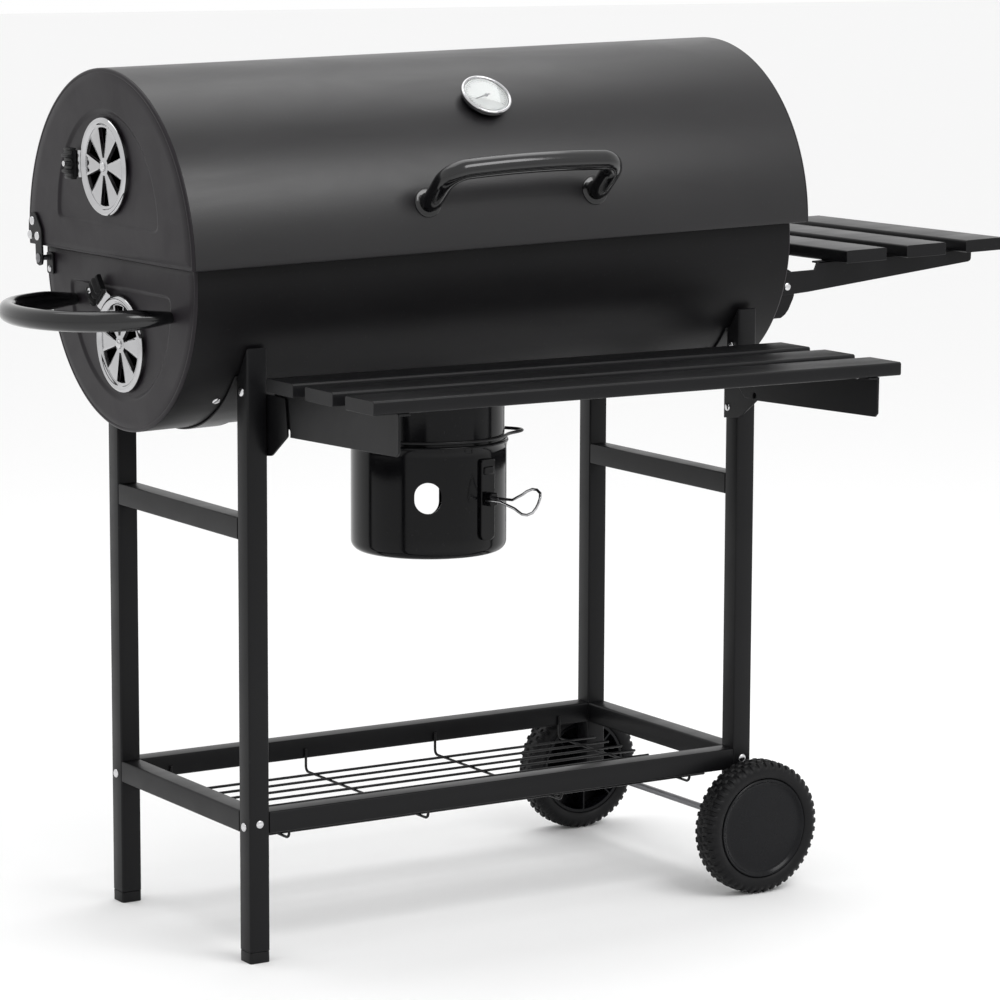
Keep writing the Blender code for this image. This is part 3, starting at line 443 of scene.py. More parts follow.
def rod(start, end, radius, sides=10):
    """A straight round bar with small chamfers at both ends."""
    start, end = np.asarray(start, float), np.asarray(end, float)
    along = (end - start) / np.linalg.norm(end - start)
    normal = np.array([0, 0, 1.0]) if abs(along[2]) < 0.9 else np.array([1.0, 0, 0])
    chamfer = radius * 0.3
    path = np.array([start, start + along * chamfer, end - along * chamfer, end])
    return sweep(path, normal, np.array([0.7, 1, 1, 0.7]) * radius, sides)


def turning(profile, centre, axis, steps=40):
    """Points (radius, height) of the profile turned round the axis through centre."""
    axis = np.asarray(axis, float) / np.linalg.norm(axis)
    first = np.cross(axis, [0, 0, 1.0] if abs(axis[2]) < 0.9 else [1.0, 0, 0])
    first /= np.linalg.norm(first)
    second = np.cross(axis, first)
    angle = np.linspace(0, 2 * pi, steps, endpoint=False)
    ring = np.cos(angle)[:, None] * first + np.sin(angle)[:, None] * second
    profile = np.asarray(profile, float)
    grid = profile[:, 0][:, None, None] * ring + profile[:, 1][:, None, None] * axis + np.asarray(centre, float)
    return weave(grid, wrap_columns=True)


def dome_bolt(place, axis, radius=0.0058, height=0.0034):
    """A domed head with a short straight edge."""
    rise = np.linspace(0, pi / 2, 7)
    head = np.column_stack([radius * np.cos(rise), height * (0.25 + 0.75 * np.sin(rise))])
    base = [(0, 0), (radius, 0)]
    return turning(np.vstack([base, head]), place, axis, 20)


def hex_nut(place, axis, radius=0.0062, height=0.004):
    """Six flats with chamfered corners and the bolt's end standing out of the middle."""
    profile = [(0, 0), (radius * 0.94, 0), (radius, height * 0.15), (radius, height * 0.85), (radius * 0.9, height)]
    nut = turning(profile + [(0, height)], place, axis, 6)
    end = turning([(0, 0), (radius * 0.48, 0), (radius * 0.48, height * 1.45), (radius * 0.38, height * 1.6),
                   (0, height * 1.6)], place, axis, 14)
    return together(nut, end)


def plate(outline, low, high, axis):
    """A flat outline as two faces with a wall between them; the outline is in the two other axes."""
    outline = np.asarray(outline, float)
    count = len(outline)
    grid = np.stack([np.column_stack([outline, np.full(count, level)]) for level in (low, high)])
    points, walls = weave(grid[..., ORDER[axis]], wrap_columns=True)
    return points, walls + [np.arange(count)[None], np.arange(count, 2 * count)[None]]


def block(low, high):
    """A box between two corners, as a plate along Z."""
    (x0, y0, z0), (x1, y1, z1) = low, high
    return plate([(x0, y0), (x1, y0), (x1, y1), (x0, y1)], z0, z1, "Z")


def arc(radius, start, end, count, centre=(0.0, 0.0)):
    angle = np.radians(np.linspace(start, end, count))
    return np.column_stack([centre[0] + radius * np.cos(angle), centre[1] + radius * np.sin(angle)])


def make(name, shape, body, finish, layout=CART, replaces=(), crease=32, bevel=0.0,
         thickness=0.0):
    """Builds the mesh in place, welds seams and poles, faces it outwards and gives it to its CAD body."""
    points, blocks = shape
    points = layout(points)
    mesh = bpy.data.meshes.new(name)
    mesh.from_pydata(points.tolist(), [], [face for cells in blocks for face in cells.tolist()])
    shell = bmesh.new()
    shell.from_mesh(mesh)
    bmesh.ops.remove_doubles(shell, verts=shell.verts, dist=2e-6)
    bmesh.ops.recalc_face_normals(shell, faces=shell.faces)
    shell.to_mesh(mesh)
    shell.free()
    mesh.materials.append(finish)
    obj = bpy.data.objects.new(name, mesh)
    bpy.context.scene.collection.objects.link(obj)
    if thickness:
        wall = obj.modifiers.new("wall", "SOLIDIFY")
        wall.thickness = thickness
        wall.offset = -1.0
    if bevel:
        edge = obj.modifiers.new("edge", "BEVEL")
        edge.width = bevel
        edge.segments = 2
        edge.limit_method = "ANGLE"
        edge.angle_limit = radians(40)
    mesh.shade_smooth()
    mesh.set_sharp_from_angle(angle=radians(crease))
    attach(obj, body)
    if replaces:
        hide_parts(*replaces)
    return obj


# ------------------------------------------------------------------ cart frame
def strap_surface(x, y, clearance):
    """Height of the cradle's underside at a place of the cart: the barrel's circle, tilted with X."""
    radius = BODY_RADIUS + clearance
    return BARREL_Z + BODY_Z + x * sin(TILT) - np.sqrt(np.maximum(radius ** 2 - y ** 2, 1e-9))


def leg(name, side_x, side_y, bottom, top):
    """Rings of a rounded square carried up the leg; the top is the lower of a level face and the hollow
    that takes the barrel, and closes through shrinking rings so that it follows the hollow."""
    x, y = side_x * LEG_X, side_y * LEG_Y
    rows = [(bottom + 0.03, 0.002, 0.0), (bottom + 0.03, 0.002, 1.0), (bottom, 0.002, 1.0), (bottom, 0.0004, 1.0),
            (bottom + 0.0004, 0.0, 1.0)]
    grid = []
    for height, inset, scale in rows:
        section = rounded_rectangle(TUBE - 2 * inset, TUBE - 2 * inset, 0.0022 - inset * 0.8) * scale + (x, y)
        grid.append(np.column_stack([section, np.full(len(section), height)]))
    for inset, scale, drop in ((0.0, 1.0, 0.0006), (0.0006, 1.0, 0.0), (0.0006, 0.85, 0.0), (0.0006, 0.6, 0.0),
                               (0.0006, 0.3, 0.0), (0.0006, 0.0, 0.0)):
        section = rounded_rectangle(TUBE - 2 * inset, TUBE - 2 * inset, 0.0022) * scale + (x, y)
        level = np.minimum(top, strap_surface(section[:, 0], section[:, 1], 0.0034)) - drop
        grid.append(np.column_stack([section, level]))
    make(name + "_tube", weave(np.array(grid), wrap_columns=True), "cart", FRAME_PAINT, replaces=[name],
         crease=40)


def build_frame():
    for side_x, side_y, name, bottom, top in ((-1, -1, "leg_front_left", 0.0124, 0.6623),
                                              (-1, 1, "leg_back_left", 0.0124, 0.6623),
                                              (1, -1, "leg_front_right", 0.057, 0.6706),
                                              (1, 1, "leg_back_right", 0.057, 0.6706)):
        leg(name, side_x, side_y, bottom, top)
    half_x = LEG_X - TUBE / 2 - 0.0004
    half_y = LEG_Y - TUBE / 2 - 0.0004
    for side, sign in (("front", -1), ("back", 1)):
        name = "base_rail_" + side
        make(name + "_tube", square_bar(-half_x, half_x, (sign * LEG_Y, LOW_RAIL), "X"), "cart", FRAME_PAINT,
             replaces=[name], crease=40)
    for side, sign in (("left", -1), ("right", 1)):
        for kind, height in (("base_rail_", LOW_RAIL), ("crossbar_", HIGH_RAIL)):
            name = kind + side
            make(name + "_tube", square_bar(-half_y, half_y, (sign * LEG_X, height), "Y"), "cart", FRAME_PAINT,
                 replaces=[name], crease=40)
    for side, sign in (("front", -1), ("back", 1)):
        centre = (-LEG_X, sign * LEG_Y)
        pad = square_bar(0.0, 0.0120, centre, "Z", TUBE, TUBE, 0.003)
        lip = square_bar(0.0085, 0.0118, centre, "Z", TUBE - 0.0005, TUBE - 0.0005, 0.003)
        stub = square_bar(0.0118, 0.0260, centre, "Z", TUBE - 0.0048, TUBE - 0.0048, 0.0015)
        make("foot_cap_" + side, together(pad, lip, stub), "cart", BLACK_PLASTIC, replaces=["foot_" + side],
             crease=40)
    heads, nuts = [], []
    out = LEG_X + TUBE / 2
    for side_x in (-1, 1):
        for side_y in (-1, 1):
            y = side_y * LEG_Y
            for height in (LOW_RAIL - 0.004, 0.616):
                heads.append(dome_bolt((side_x * out, y, height), (side_x, 0, 0), 0.0050, 0.0030))
            heads.append(dome_bolt((side_x * LEG_X, side_y * (LEG_Y + TUBE / 2), LOW_RAIL), (0, side_y, 0), 0.0046, 0.0026))
            if side_x > 0 or side_y > 0:
                nuts.append(hex_nut((side_x * (LEG_X - TUBE / 2), y, 0.628), (-side_x, 0, 0), 0.0052, 0.0034))
    make("frame_bolts", together(*heads, *nuts), "cart", BOLT_CHROME, crease=40)


def build_rack():
    """Long wires welded on cross wires, whose ends turn up inside the front and back rails."""
    wire, floor_z = 0.0016, 0.126
    reach = LEG_Y - TUBE / 2 - wire - 0.0004
    long_half = LEG_X - TUBE / 2 - 0.010
    turn = arc(0.006, 180, 270, 6, (-reach + 0.006, floor_z + 0.006))
    line = np.vstack([[(-reach, 0.152), (-reach, 0.142)], turn])
    line = np.vstack([line, (line * (-1, 1))[::-1]])
    shapes = []
    for i in range(4):
        path = np.column_stack([np.full(len(line), -0.265 + 0.175 * i), line])
        shapes.append(sweep(path, (1, 0, 0), wire, 8))
    for i in range(9):
        y, z = -0.120 + 0.0285 * i, floor_z + 2 * wire - 0.0006
        shapes.append(rod((-long_half, y, z), (long_half, y, z), wire, 8))
    make("storage_rack_wires", together(*shapes), "cart", WIRE_PAINT, replaces=["storage_rack"],
         crease=60)


# ------------------------------------------------------------------ wheels
WHEEL_RADIUS, WHEEL_WIDTH, HUB_RADIUS, AXLE_X = 0.077, 0.038, 0.057, 0.319
LUGS = 46


def tyre(outward, centre):
    """Rings across the tread, from the hub's outer side round to its inner side, with height a function of
    the turn and of the place across: shoulder ribs, and two rows of blocks half a pitch apart."""
    half = WHEEL_WIDTH / 2
    side = [(HUB_RADIUS + 0.0004, -half + 0.010), (HUB_RADIUS + 0.0004, half - 0.0042), (0.0584, half - 0.0030),
            (0.0610, half - 0.0016), (0.0640, half - 0.0008), (0.0668, half - 0.0008), (0.0685, half - 0.0014),
            (0.0700, half - 0.0024), (0.0716, half - 0.0038), (0.0734, half - 0.0060), (0.0745, half - 0.0082)]
    across = np.linspace(half - 0.0100, 0.0, 16)[:, None] * (0, 1) + (0.0748, 0)
    profile = np.vstack([side, across])
    profile = np.vstack([profile, (profile * (1, -1))[::-1][1:]])
    steps = LUGS * 10
    angle = np.linspace(0, 2 * pi, steps, endpoint=False)
    place = np.abs(profile[:, 1])[:, None] / half
    radius = profile[:, 0][:, None] + np.zeros(steps)

    def lug(phase, share):
        wave = np.cos(LUGS * angle + phase)[None]
        return np.clip((wave + share) * 3.2, 0, 1)

    sided = np.sign(profile[:, 1])[:, None]
    shoulder = np.clip((profile[:, 0][:, None] - 0.0672) / 0.003, 0, 1) * np.clip((place - 0.50) * 14, 0, 1)
    inner_row = np.clip((0.44 - place) * 14, 0, 1) * np.clip((place - 0.05) * 20, 0, 1)
    radius = radius + 0.0022 * shoulder * lug(0.0, 0.15)
    radius = radius + 0.0021 * inner_row * np.where(sided > 0, lug(pi, 0.2), lug(pi / 2, 0.2))
    radius = np.minimum(radius, WHEEL_RADIUS)
    grid = np.stack([radius * np.cos(angle), np.repeat(profile[:, 1:2], steps, 1) * outward, radius * np.sin(angle)], -1)
    return weave(grid + np.asarray(centre), wrap_rows=True, wrap_columns=True)


def build_wheels():
    wheel_y = FRAME_DEPTH / 2 + 0.0045 + WHEEL_WIDTH / 2
    half = WHEEL_WIDTH / 2
    for side, sign in (("front", -1), ("back", 1)):
        centre = (AXLE_X, sign * wheel_y, WHEEL_RADIUS)
        body = side + "_wheel"
        make("tyre_" + side, tyre(sign, centre), body, TREAD_PLASTIC, replaces=["wheel_tyre_" + side],
             crease=50)
        radius = np.linspace(0, 0.0495, 12)
        dish = np.column_stack([radius, half - 0.0058 - 0.0006 * (radius / 0.0495) ** 2])
        face = np.vstack([dish, [(0.0512, half - 0.0061), (0.0528, half - 0.0050), (0.0541, half - 0.0035),
                                 (0.0552, half - 0.0026), (0.0563, half - 0.0024), (HUB_RADIUS, half - 0.0030),
                                 (HUB_RADIUS, half - 0.0100), (HUB_RADIUS, -half + 0.0044), (0.0566, -half + 0.0040), (0.0534, -half + 0.0040),
                                 (0.0530, -half + 0.0046), (0.0530, half - 0.0100), (0.0140, half - 0.0100),
                                 (0.0140, -half + 0.0016), (0.0132, -half + 0.0008), (0.0052, -half + 0.0008),
                                 (0.0046, -half + 0.0014), (0.0046, half - 0.0098), (0.0, half - 0.0098)]])
        hub = turning(face, centre, (0, sign, 0), 64)
        ribs = []
        for k in range(8):
            rib = block((0.0135, -half + 0.004, -0.0009), (0.0534, half - 0.0099, 0.0009))
            rib = (rib[0] * (1, sign, 1), rib[1])
            ribs.append(moved(turned_about(rib, "Y", k * pi / 4), centre))
        make("hub_" + side, together(hub, *ribs), body, WHEEL_PLASTIC, replaces=["wheel_hub_" + side],
             crease=35)
    reach = wheel_y + half - 0.0105
    axle = rod((AXLE_X, -reach, WHEEL_RADIUS), (AXLE_X, reach, WHEEL_RADIUS), 0.004, 24)
    washers = [turning([(0.0043, 0), (0.0100, 0), (0.0100, 0.0014), (0.0043, 0.0014), (0.0043, 0)],
                       (AXLE_X, sign * (FRAME_DEPTH / 2 + 0.0012), WHEEL_RADIUS), (0, sign, 0), 24) for sign in (-1, 1)]
    make("axle_rod", together(axle, *washers), "cart", PLATED_STEEL, replaces=["axle"], crease=40)


# ------------------------------------------------------------------ barrel and lid sheets
def lid_loop(radius, edge=LID_EDGE_Z, count=121):
    start = np.degrees(np.arcsin(edge / radius))
    return arc(radius, start, 180 - start, count)


def body_loop(radius, rim=BODY_RIM_Z, count=121):
    start = np.degrees(np.arcsin((rim - BODY_Z) / radius))
    return arc(radius, start, -180 - start, count, (0.0, BODY_Z))


def carried(loop, places):
    """A closed section of (y, z) points carried along X through the given places, with both ends filled."""
    grid = np.stack([np.column_stack([np.full(len(loop), x), loop]) for x in places])
    points, walls = weave(grid, wrap_columns=True)
    count, last = len(loop), (len(places) - 1) * len(loop)
    return points, walls + [np.arange(count)[None], np.arange(last, last + count)[None]]


def lid_section():
    """The lid's sheet with its lower edges rolled over and turned in to a ledge."""
    inner, ledge, low = LID_RADIUS - SHEET, LID_RADIUS - 0.0175, LID_EDGE_Z
    outer = lid_loop(LID_RADIUS, low + 0.0012)
    inside = lid_loop(inner, low + SHEET)[::-1]
    right = [(LID_RADIUS - 0.0003, low + 0.0004), (LID_RADIUS - 0.0010, low)]
    foot = [(ledge + 0.0006, low), (ledge, low + 0.0006), (ledge, low + SHEET - 0.0003)]
    mirror = [(-y, z) for y, z in (right + foot)]
    return np.vstack([outer, mirror, inside, (right + foot)[::-1]])


def body_section():
    """The lower sheet with its two upper edges rounded."""
    outer = body_loop(BODY_RADIUS, BODY_RIM_Z - 0.0006)
    inner = body_loop(BODY_RADIUS - SHEET, BODY_RIM_Z - 0.0006)[::-1]
    y = sqrt((BODY_RADIUS - SHEET / 2) ** 2 - (BODY_RIM_Z - BODY_Z) ** 2)
    return np.vstack([[(y + 0.0003, BODY_RIM_Z)], outer, [(-y - 0.0003, BODY_RIM_Z), (-y + 0.0003, BODY_RIM_Z)], inner,
                      [(y - 0.0003, BODY_RIM_Z)]])


PANEL_RADIUS = 0.1165
PANEL_CORNER = 26.0          # the higher, the sharper the two corners of the pressed panel


def end_plate(face_x, inward, radius, circle_z, rim_z, rim_below, centre_z, panel, vent):
    """Rings round the vent's centre, out to the plate's edge. Angle by angle the edge is the nearer of the
    circle and the level rim. The pressed panel's edge is a soft minimum of its own circle and level line.
    The panel lies deeper by a smooth step, the plate's edge rolls over on a quarter circle, and a short
    flange goes into the sheet."""
    step, roll, flange = 0.0022, 0.0028, 0.009
    corner_y = sqrt(radius ** 2 - (rim_z - circle_z) ** 2)
    corners = np.arctan2([rim_z - centre_z, rim_z - centre_z], [corner_y, -corner_y])
    slot_edges = [pi / 2 + pi / 3 * k + side * SLOT_HALF for k in range(6) for side in (-1, 1)]
    angles = np.sort(np.concatenate([np.linspace(-pi, pi, 240, endpoint=False) + 0.0005, corners,
                                     (np.array(slot_edges) + pi) % (2 * pi) - pi]))
    direction = np.column_stack([np.cos(angles), np.sin(angles)])
    rise = np.where(np.abs(direction[:, 1]) < 1e-9, 1e-9, direction[:, 1])

    def spans(circle, middle, level):
        """How far it is from the vent's centre to a circle and to a level line, angle by angle."""
        half_b = rise * (centre_z - middle)
        round_edge = -half_b + np.sqrt(half_b ** 2 - (centre_z - middle) ** 2 + circle ** 2)
        straight = (level - centre_z) / rise
        return round_edge, np.where(straight > 0, straight, 9.0)

    def reach(circle, rim):
        return np.minimum(*spans(circle, circle_z, rim))

    pull = 1 if rim_below else -1
    rings = []
    round_edge, straight = spans(PANEL_RADIUS, panel[0], panel[1])
    edge = (round_edge ** -PANEL_CORNER + straight ** -PANEL_CORNER) ** (-1 / PANEL_CORNER)
    if vent:
        rings += [(np.full(len(angles), r), step)
                  for r in (0.0, 0.009, SLOT_INNER, 0.0245, SLOT_OUTER, 0.0428, 0.046)]
    else:
        rings += [(np.full(len(angles), r), step) for r in (0.0, 0.02, 0.046)]
    rings += [(edge * 0.35 + 0.046 * 0.65, step), (edge * 0.7 + 0.046 * 0.3, step), (edge - 0.0045, step)]
    for share in np.linspace(0, 1, 9):
        smooth = share * share * (3 - 2 * share)
        rings.append((edge - 0.0032 + 0.0064 * share, step * (1 - smooth)))
    rings.append((edge + 0.0045, 0.0))
    outer = reach(radius - roll - 0.0026, rim_z + pull * 0.004)
    start = rings[-1][0]
    rings += [(start * 0.6 + outer * 0.4, 0.0), (start * 0.2 + outer * 0.8, 0.0), (outer, 0.0)]
    rings.append((reach(radius - roll - 0.0016, rim_z + pull * 0.0030), 0.0005))
    rings.append((reach(radius - roll - 0.0006, rim_z + pull * 0.0020), 0.0))
    for turn in np.linspace(0, pi / 2, 6):
        rings.append((reach(radius - roll * (1 - sin(turn)), rim_z + pull * 0.0012 * (1 - sin(turn))),
                      roll * (1 - cos(turn))))
    rings.append((reach(radius - 0.0014, rim_z + pull * 0.0008), roll + 0.0004))
    rings.append((reach(radius - SHEET - 0.0003, rim_z + pull * 0.0022), roll + 0.0004))
    rings.append((reach(radius - SHEET - 0.0003, rim_z + pull * 0.0022), flange))
    distance = np.array([ring[0] for ring in rings])
    depth = np.array([np.broadcast_to(ring[1], len(angles)) for ring in rings])
    grid = np.stack([face_x + inward * depth, distance * direction[:, 0], centre_z + distance * direction[:, 1]], -1)
    keep = np.ones((len(rings) - 1, len(angles)), bool)
    if vent:
        middle = angles + np.diff(np.append(angles, angles[0] + 2 * pi)) / 2
        off = np.abs((middle - pi / 2 + pi / 6) % (pi / 3) - pi / 6)
        keep[2:4, off < SLOT_HALF] = False
    return weave(grid, wrap_columns=True, keep=keep)


def build_barrel():
    lid_panel, body_panel = (0.033, 0.029), (-0.043, -0.040)
    lid_x = np.linspace(LID_MIN_X + 0.0032, LID_MAX_X - 0.0032, 24)
    make("lid_sheet", carried(lid_section(), lid_x), "lid", LID_PAINT, BARREL, ["lid_shell"])
    body_x = np.linspace(BODY_MIN_X + 0.0032, BODY_MAX_X - 0.0032, 24)
    # The lower sheet gets the darker, less glossy copy of the lid's paint: painted shade.
    body = make("barrel_sheet", carried(body_section(), body_x), "cart", SHADED_BODY_PAINT, BARREL, ["barrel_shell"])
    ash_hole(body)
    thickness = 0.0010
    for side, face, inward, vent in (("left", LID_MIN_X, 1, True), ("right", LID_MAX_X, -1, False)):
        shape = end_plate(face, inward, LID_RADIUS, 0.0, LID_EDGE_Z, True, VENT_Z_LID, lid_panel, vent)
        make("lid_end_pressed_" + side, shape, "lid", CAP_PAINT, BARREL, ["lid_end_" + side],
             crease=50, thickness=thickness)
    for side, face, inward, vent in (("left", BODY_MIN_X, 1, True), ("right", BODY_MAX_X, -1, False)):
        shape = end_plate(face, inward, BODY_RADIUS, BODY_Z, BODY_RIM_Z, False, VENT_Z_BODY, body_panel, vent)
        make("barrel_end_pressed_" + side, shape, "cart", CAP_PAINT, BARREL, ["barrel_end_" + side],
             crease=50, thickness=thickness)


def cut_out(obj, shape, weld=False):
    """Takes one closed shape out of a piece and keeps the cut mesh."""
    points, blocks = shape
    mesh = bpy.data.meshes.new("cutter")
    mesh.from_pydata(points.tolist(), [], [face for cells in blocks for face in cells.tolist()])
    tool = bmesh.new()
    tool.from_mesh(mesh)
    if weld:
        bmesh.ops.remove_doubles(tool, verts=tool.verts, dist=1e-6)
    bmesh.ops.recalc_face_normals(tool, faces=tool.faces)
    tool.to_mesh(mesh)
    tool.free()
    cutter = bpy.data.objects.new("cutter", mesh)
    bpy.context.scene.collection.objects.link(cutter)
    cut = obj.modifiers.new("cut", "BOOLEAN")
    cut.solver = "EXACT"
    cut.object = cutter
    bpy.context.view_layer.update()
    finished = bpy.data.meshes.new_from_object(obj.evaluated_get(bpy.context.evaluated_depsgraph_get()))
    obj.modifiers.clear()
    obj.data = finished
    bpy.data.objects.remove(cutter, do_unlink=True)


def ash_hole(body):
    """Cuts the round way down to the bucket out of the sheet."""
    centre = Vector(CART((BUCKET_X, 0.0, BARREL_Z + BODY_Z - BODY_RADIUS)))
    half, radius = 0.05, 0.079
    drum = turning([(0, -half), (radius, -half), (radius, half), (0, half)], centre, (0, 0, 1), 48)
    cut_out(body, drum, weld=True)


def build_cradle():
    """Flat straps bent to the barrel's circle, with rounded edges, and their bolts."""
    radius = BODY_RADIUS + 0.0004
    bolts = []
    for side, sign in (("left", -1), ("right", 1)):
        loop = np.vstack([arc(radius + SHEET, -37, -143, 61, (0, BODY_Z)), arc(radius, -143, -37, 61, (0, BODY_Z))])
        shape = carried(loop, [sign * LEG_X - 0.018, sign * LEG_X + 0.018])
        make("cradle_band_" + side, shape, "cart", FRAME_PAINT, BARREL, ["cradle_strap_" + side],
             crease=40, bevel=0.0006)
        for angle in (-50, -130, -90):
            out = np.array([0, cos(radians(angle)), sin(radians(angle))])
            place = np.array([sign * LEG_X, 0, BODY_Z]) + out * (radius + SHEET)
            if angle == -90:
                bolts.append(dome_bolt(place, out, 0.0050, 0.0026))
            else:
                for shift in (-0.0260, 0.0260):
                    spot = np.array([sign * LEG_X + shift, 0, BODY_Z]) + out * BODY_RADIUS
                    bolts.append(dome_bolt(spot, out, 0.0046, 0.0026))
    make("cradle_bolts", together(*bolts), "cart", BOLT_CHROME, BARREL, crease=40)


# ------------------------------------------------------------------ vents
def vent_disc(face_x, centre_z):
    """Rings round the disc's centre with a height over the end plate: rolled rim, raised outer band, groove,
    fan of six blades with the openings left out, and a raised middle."""
    profile = [(0.0, 0.0018), (0.0060, 0.0018), (0.0084, 0.0014), (0.0090, 0.0012), (SLOT_INNER, 0.0012),
               (0.0200, 0.0012), (0.0310, 0.0012), (SLOT_OUTER, 0.0012), (0.0430, 0.0010), (0.0438, 0.0009),
               (0.0446, 0.0013), (0.0455, 0.0024), (0.0468, 0.0036), (0.0484, 0.0042), (0.0500, 0.0040),
               (0.0514, 0.0031), (0.0524, 0.0018), (VENT_RADIUS, 0.0004)]
    profile = np.array(profile)
    half = SLOT_HALF
    sector = np.concatenate([np.linspace(-half, half, 7), np.linspace(half, pi / 3 - half, 8)[1:-1]])
    angles = (np.arange(6)[:, None] * pi / 3 + pi / 2 + sector).ravel()
    grid = np.stack([np.repeat((face_x - 0.0004 - profile[:, 1])[:, None], len(angles), 1),
                     profile[:, :1] * np.cos(angles), centre_z + profile[:, :1] * np.sin(angles)], -1)
    keep = np.ones((len(profile) - 1, len(angles)), bool)
    inside = (np.arange(len(angles)) % len(sector)) < 6
    keep[4:7, inside] = False
    return weave(grid, wrap_columns=True, keep=keep)


def build_vent(name, body, face_x, centre_z, grip_angle):
    """The damper's disc, its stepped tab, its rivets and its ribbed grip."""
    centre = (0, 0, centre_z)
    angle = radians(grip_angle)
    make(name + "_fan", vent_disc(face_x, centre_z), body, VENT_CHROME, BARREL, [name], crease=28,
         thickness=0.0007)
    rise = np.array([0.0008, 0.0010, 0.0034, 0.0036, 0.0036])
    along = np.array([0.0465, 0.0530, 0.0565, 0.0590, 0.0770])
    width = np.array([0.0125, 0.0145, 0.0145, 0.0145, 0.0145])
    across = np.linspace(-1, 1, 7)
    grid = np.stack([np.repeat((face_x - rise)[:, None], 7, 1), np.repeat(along[:, None], 7, 1),
                     centre_z + width[:, None] * across], -1)
    tab = turned_about(weave(grid), "X", angle, centre)
    make(name + "_tab", tab, body, VENT_CHROME, BARREL, thickness=0.0010, bevel=0.0003, crease=35)
    top = face_x - 0.0034
    rivet = dome_bolt((top + 0.0014, 0, centre_z), (-1, 0, 0), 0.0052, 0.0036)
    screw = turned_about(dome_bolt((face_x - 0.0146, 0.0695, centre_z), (-1, 0, 0), 0.0030, 0.0010), "X", angle, centre)
    make(name + "_rivet", together(rivet, screw), body, BOLT_CHROME, BARREL, crease=40)
    low, high, thick = 0.0600, 0.0790, 0.0103
    steps = np.linspace(-1, 1, 73)
    ridge = 0.0016 * np.clip(np.cos(steps * pi * 4.0) * 1.6, -1, 1) * (np.abs(steps) < 0.88)
    crown = thick - 0.0018 - 0.0022 * np.abs(steps) ** 6 + ridge
    place = [low, low + 0.0008, low + 0.003, (low + high) / 2, high - 0.003, high - 0.0008, high]
    drop = [0.0020, 0.0006, 0.0, 0.0, 0.0, 0.0006, 0.0022]
    rows = []
    for out, less in zip(place, drop):
        upper = np.column_stack([face_x - 0.0034 - (crown - less), np.full(73, out), centre_z + steps * 0.0168])
        lower = np.column_stack([np.full(73, face_x - 0.0041), np.full(73, out), centre_z + steps[::-1] * 0.0168])
        rows.append(np.vstack([upper, lower]))
    rows = np.array(rows)
    rows = np.concatenate([np.repeat(rows[:1].mean(1, keepdims=True), rows.shape[1], 1), rows,
                           np.repeat(rows[-1:].mean(1, keepdims=True), rows.shape[1], 1)])
    grip = turned_about(weave(rows, wrap_columns=True), "X", angle, centre)
    make(name + "_ribbed_grip", grip, body, BLACK_PLASTIC, BARREL, [name + "_grip"], crease=45)


# ------------------------------------------------------------------ handles
def build_carry_handle():
    """An oval bow whose tube flattens to two pads against the left end."""
    middle, half = -0.003, 0.112
    start, reach, straight = BODY_MIN_X - 0.0004, 0.117, 0.010
    angle = np.radians(np.linspace(-90, 90, 61))
    bow = np.maximum(np.cos(angle), 0.0) ** 0.75
    path = np.column_stack([start - straight - (reach - straight) * bow, middle + half * np.sin(angle),
                            np.full(61, -0.0607)])
    ends = [np.array([[start, middle + s * half, -0.0607], [start - 0.005, middle + s * half, -0.0607]]) for s in (-1, 1)]
    path = np.vstack([ends[0], path, ends[1][::-1]])
    gap = np.abs(path[:, 0] - start)
    flat = 0.0110 - 0.0045 * np.clip(1 - gap / 0.035, 0, 1)
    bar = sweep(path, (0, 0, 1), 0.0105, 20, flat)
    make("carry_bow", bar, "cart", HANDLE_PAINT, BARREL, ["carry_handle"], crease=60)


def build_lid_handle():
    """A tube square to the lid at both feet, then leaning up, with a slight bow along the grip."""
    middle, half = (LID_MIN_X + LID_MAX_X) / 2, 0.106
    foot, lean = radians(14.0), radians(42.0)
    out, up = np.array([0, -cos(foot), sin(foot)]), np.array([0, -cos(lean), sin(lean)])
    base, elbow = out * (LID_RADIUS + 0.0008), out * (LID_RADIUS + 0.010)
    rise, bend = 0.052, 0.024
    turn = np.radians(np.linspace(0, 90, 13))
    across = half - bend + bend * np.cos(turn)
    lift = rise - bend + bend * np.sin(turn)
    flat_across = np.linspace(half - bend - 0.008, 0, 9)
    across = np.concatenate([across, flat_across])
    lift = np.concatenate([lift, rise + 0.0035 * (1 - (flat_across / (half - bend)) ** 2)])
    right = np.column_stack([middle + across, elbow[1] + up[1] * lift, elbow[2] + up[2] * lift])
    knee = np.array([[middle + half, *base[1:]], [middle + half, *(base * 0.45 + elbow * 0.55)[1:]],
                     [middle + half, *(elbow + up * 0.002)[1:]], [middle + half, *(elbow + up * 0.009)[1:]]])
    right = np.vstack([knee, right])
    left = (right * (-1, 1, 1) + (2 * middle, 0, 0))[::-1][1:]
    path = np.vstack([right, left])
    normal = np.cross(up, (1, 0, 0))
    make("lid_handle_tube", sweep(path, normal, 0.0110, 22), "lid", HANDLE_PAINT, BARREL, ["lid_handle"],
         crease=60)
    feet = [turning([(0, -0.0004), (0.0160, -0.0004), (0.0160, 0.0012), (0.0148, 0.0020), (0, 0.0020)],
                    (middle + s * half, *(out * LID_RADIUS)[1:]), out, 30) for s in (-1, 1)]
    make("lid_handle_flanges", together(*feet), "lid", HANDLE_PAINT, BARREL, crease=40)


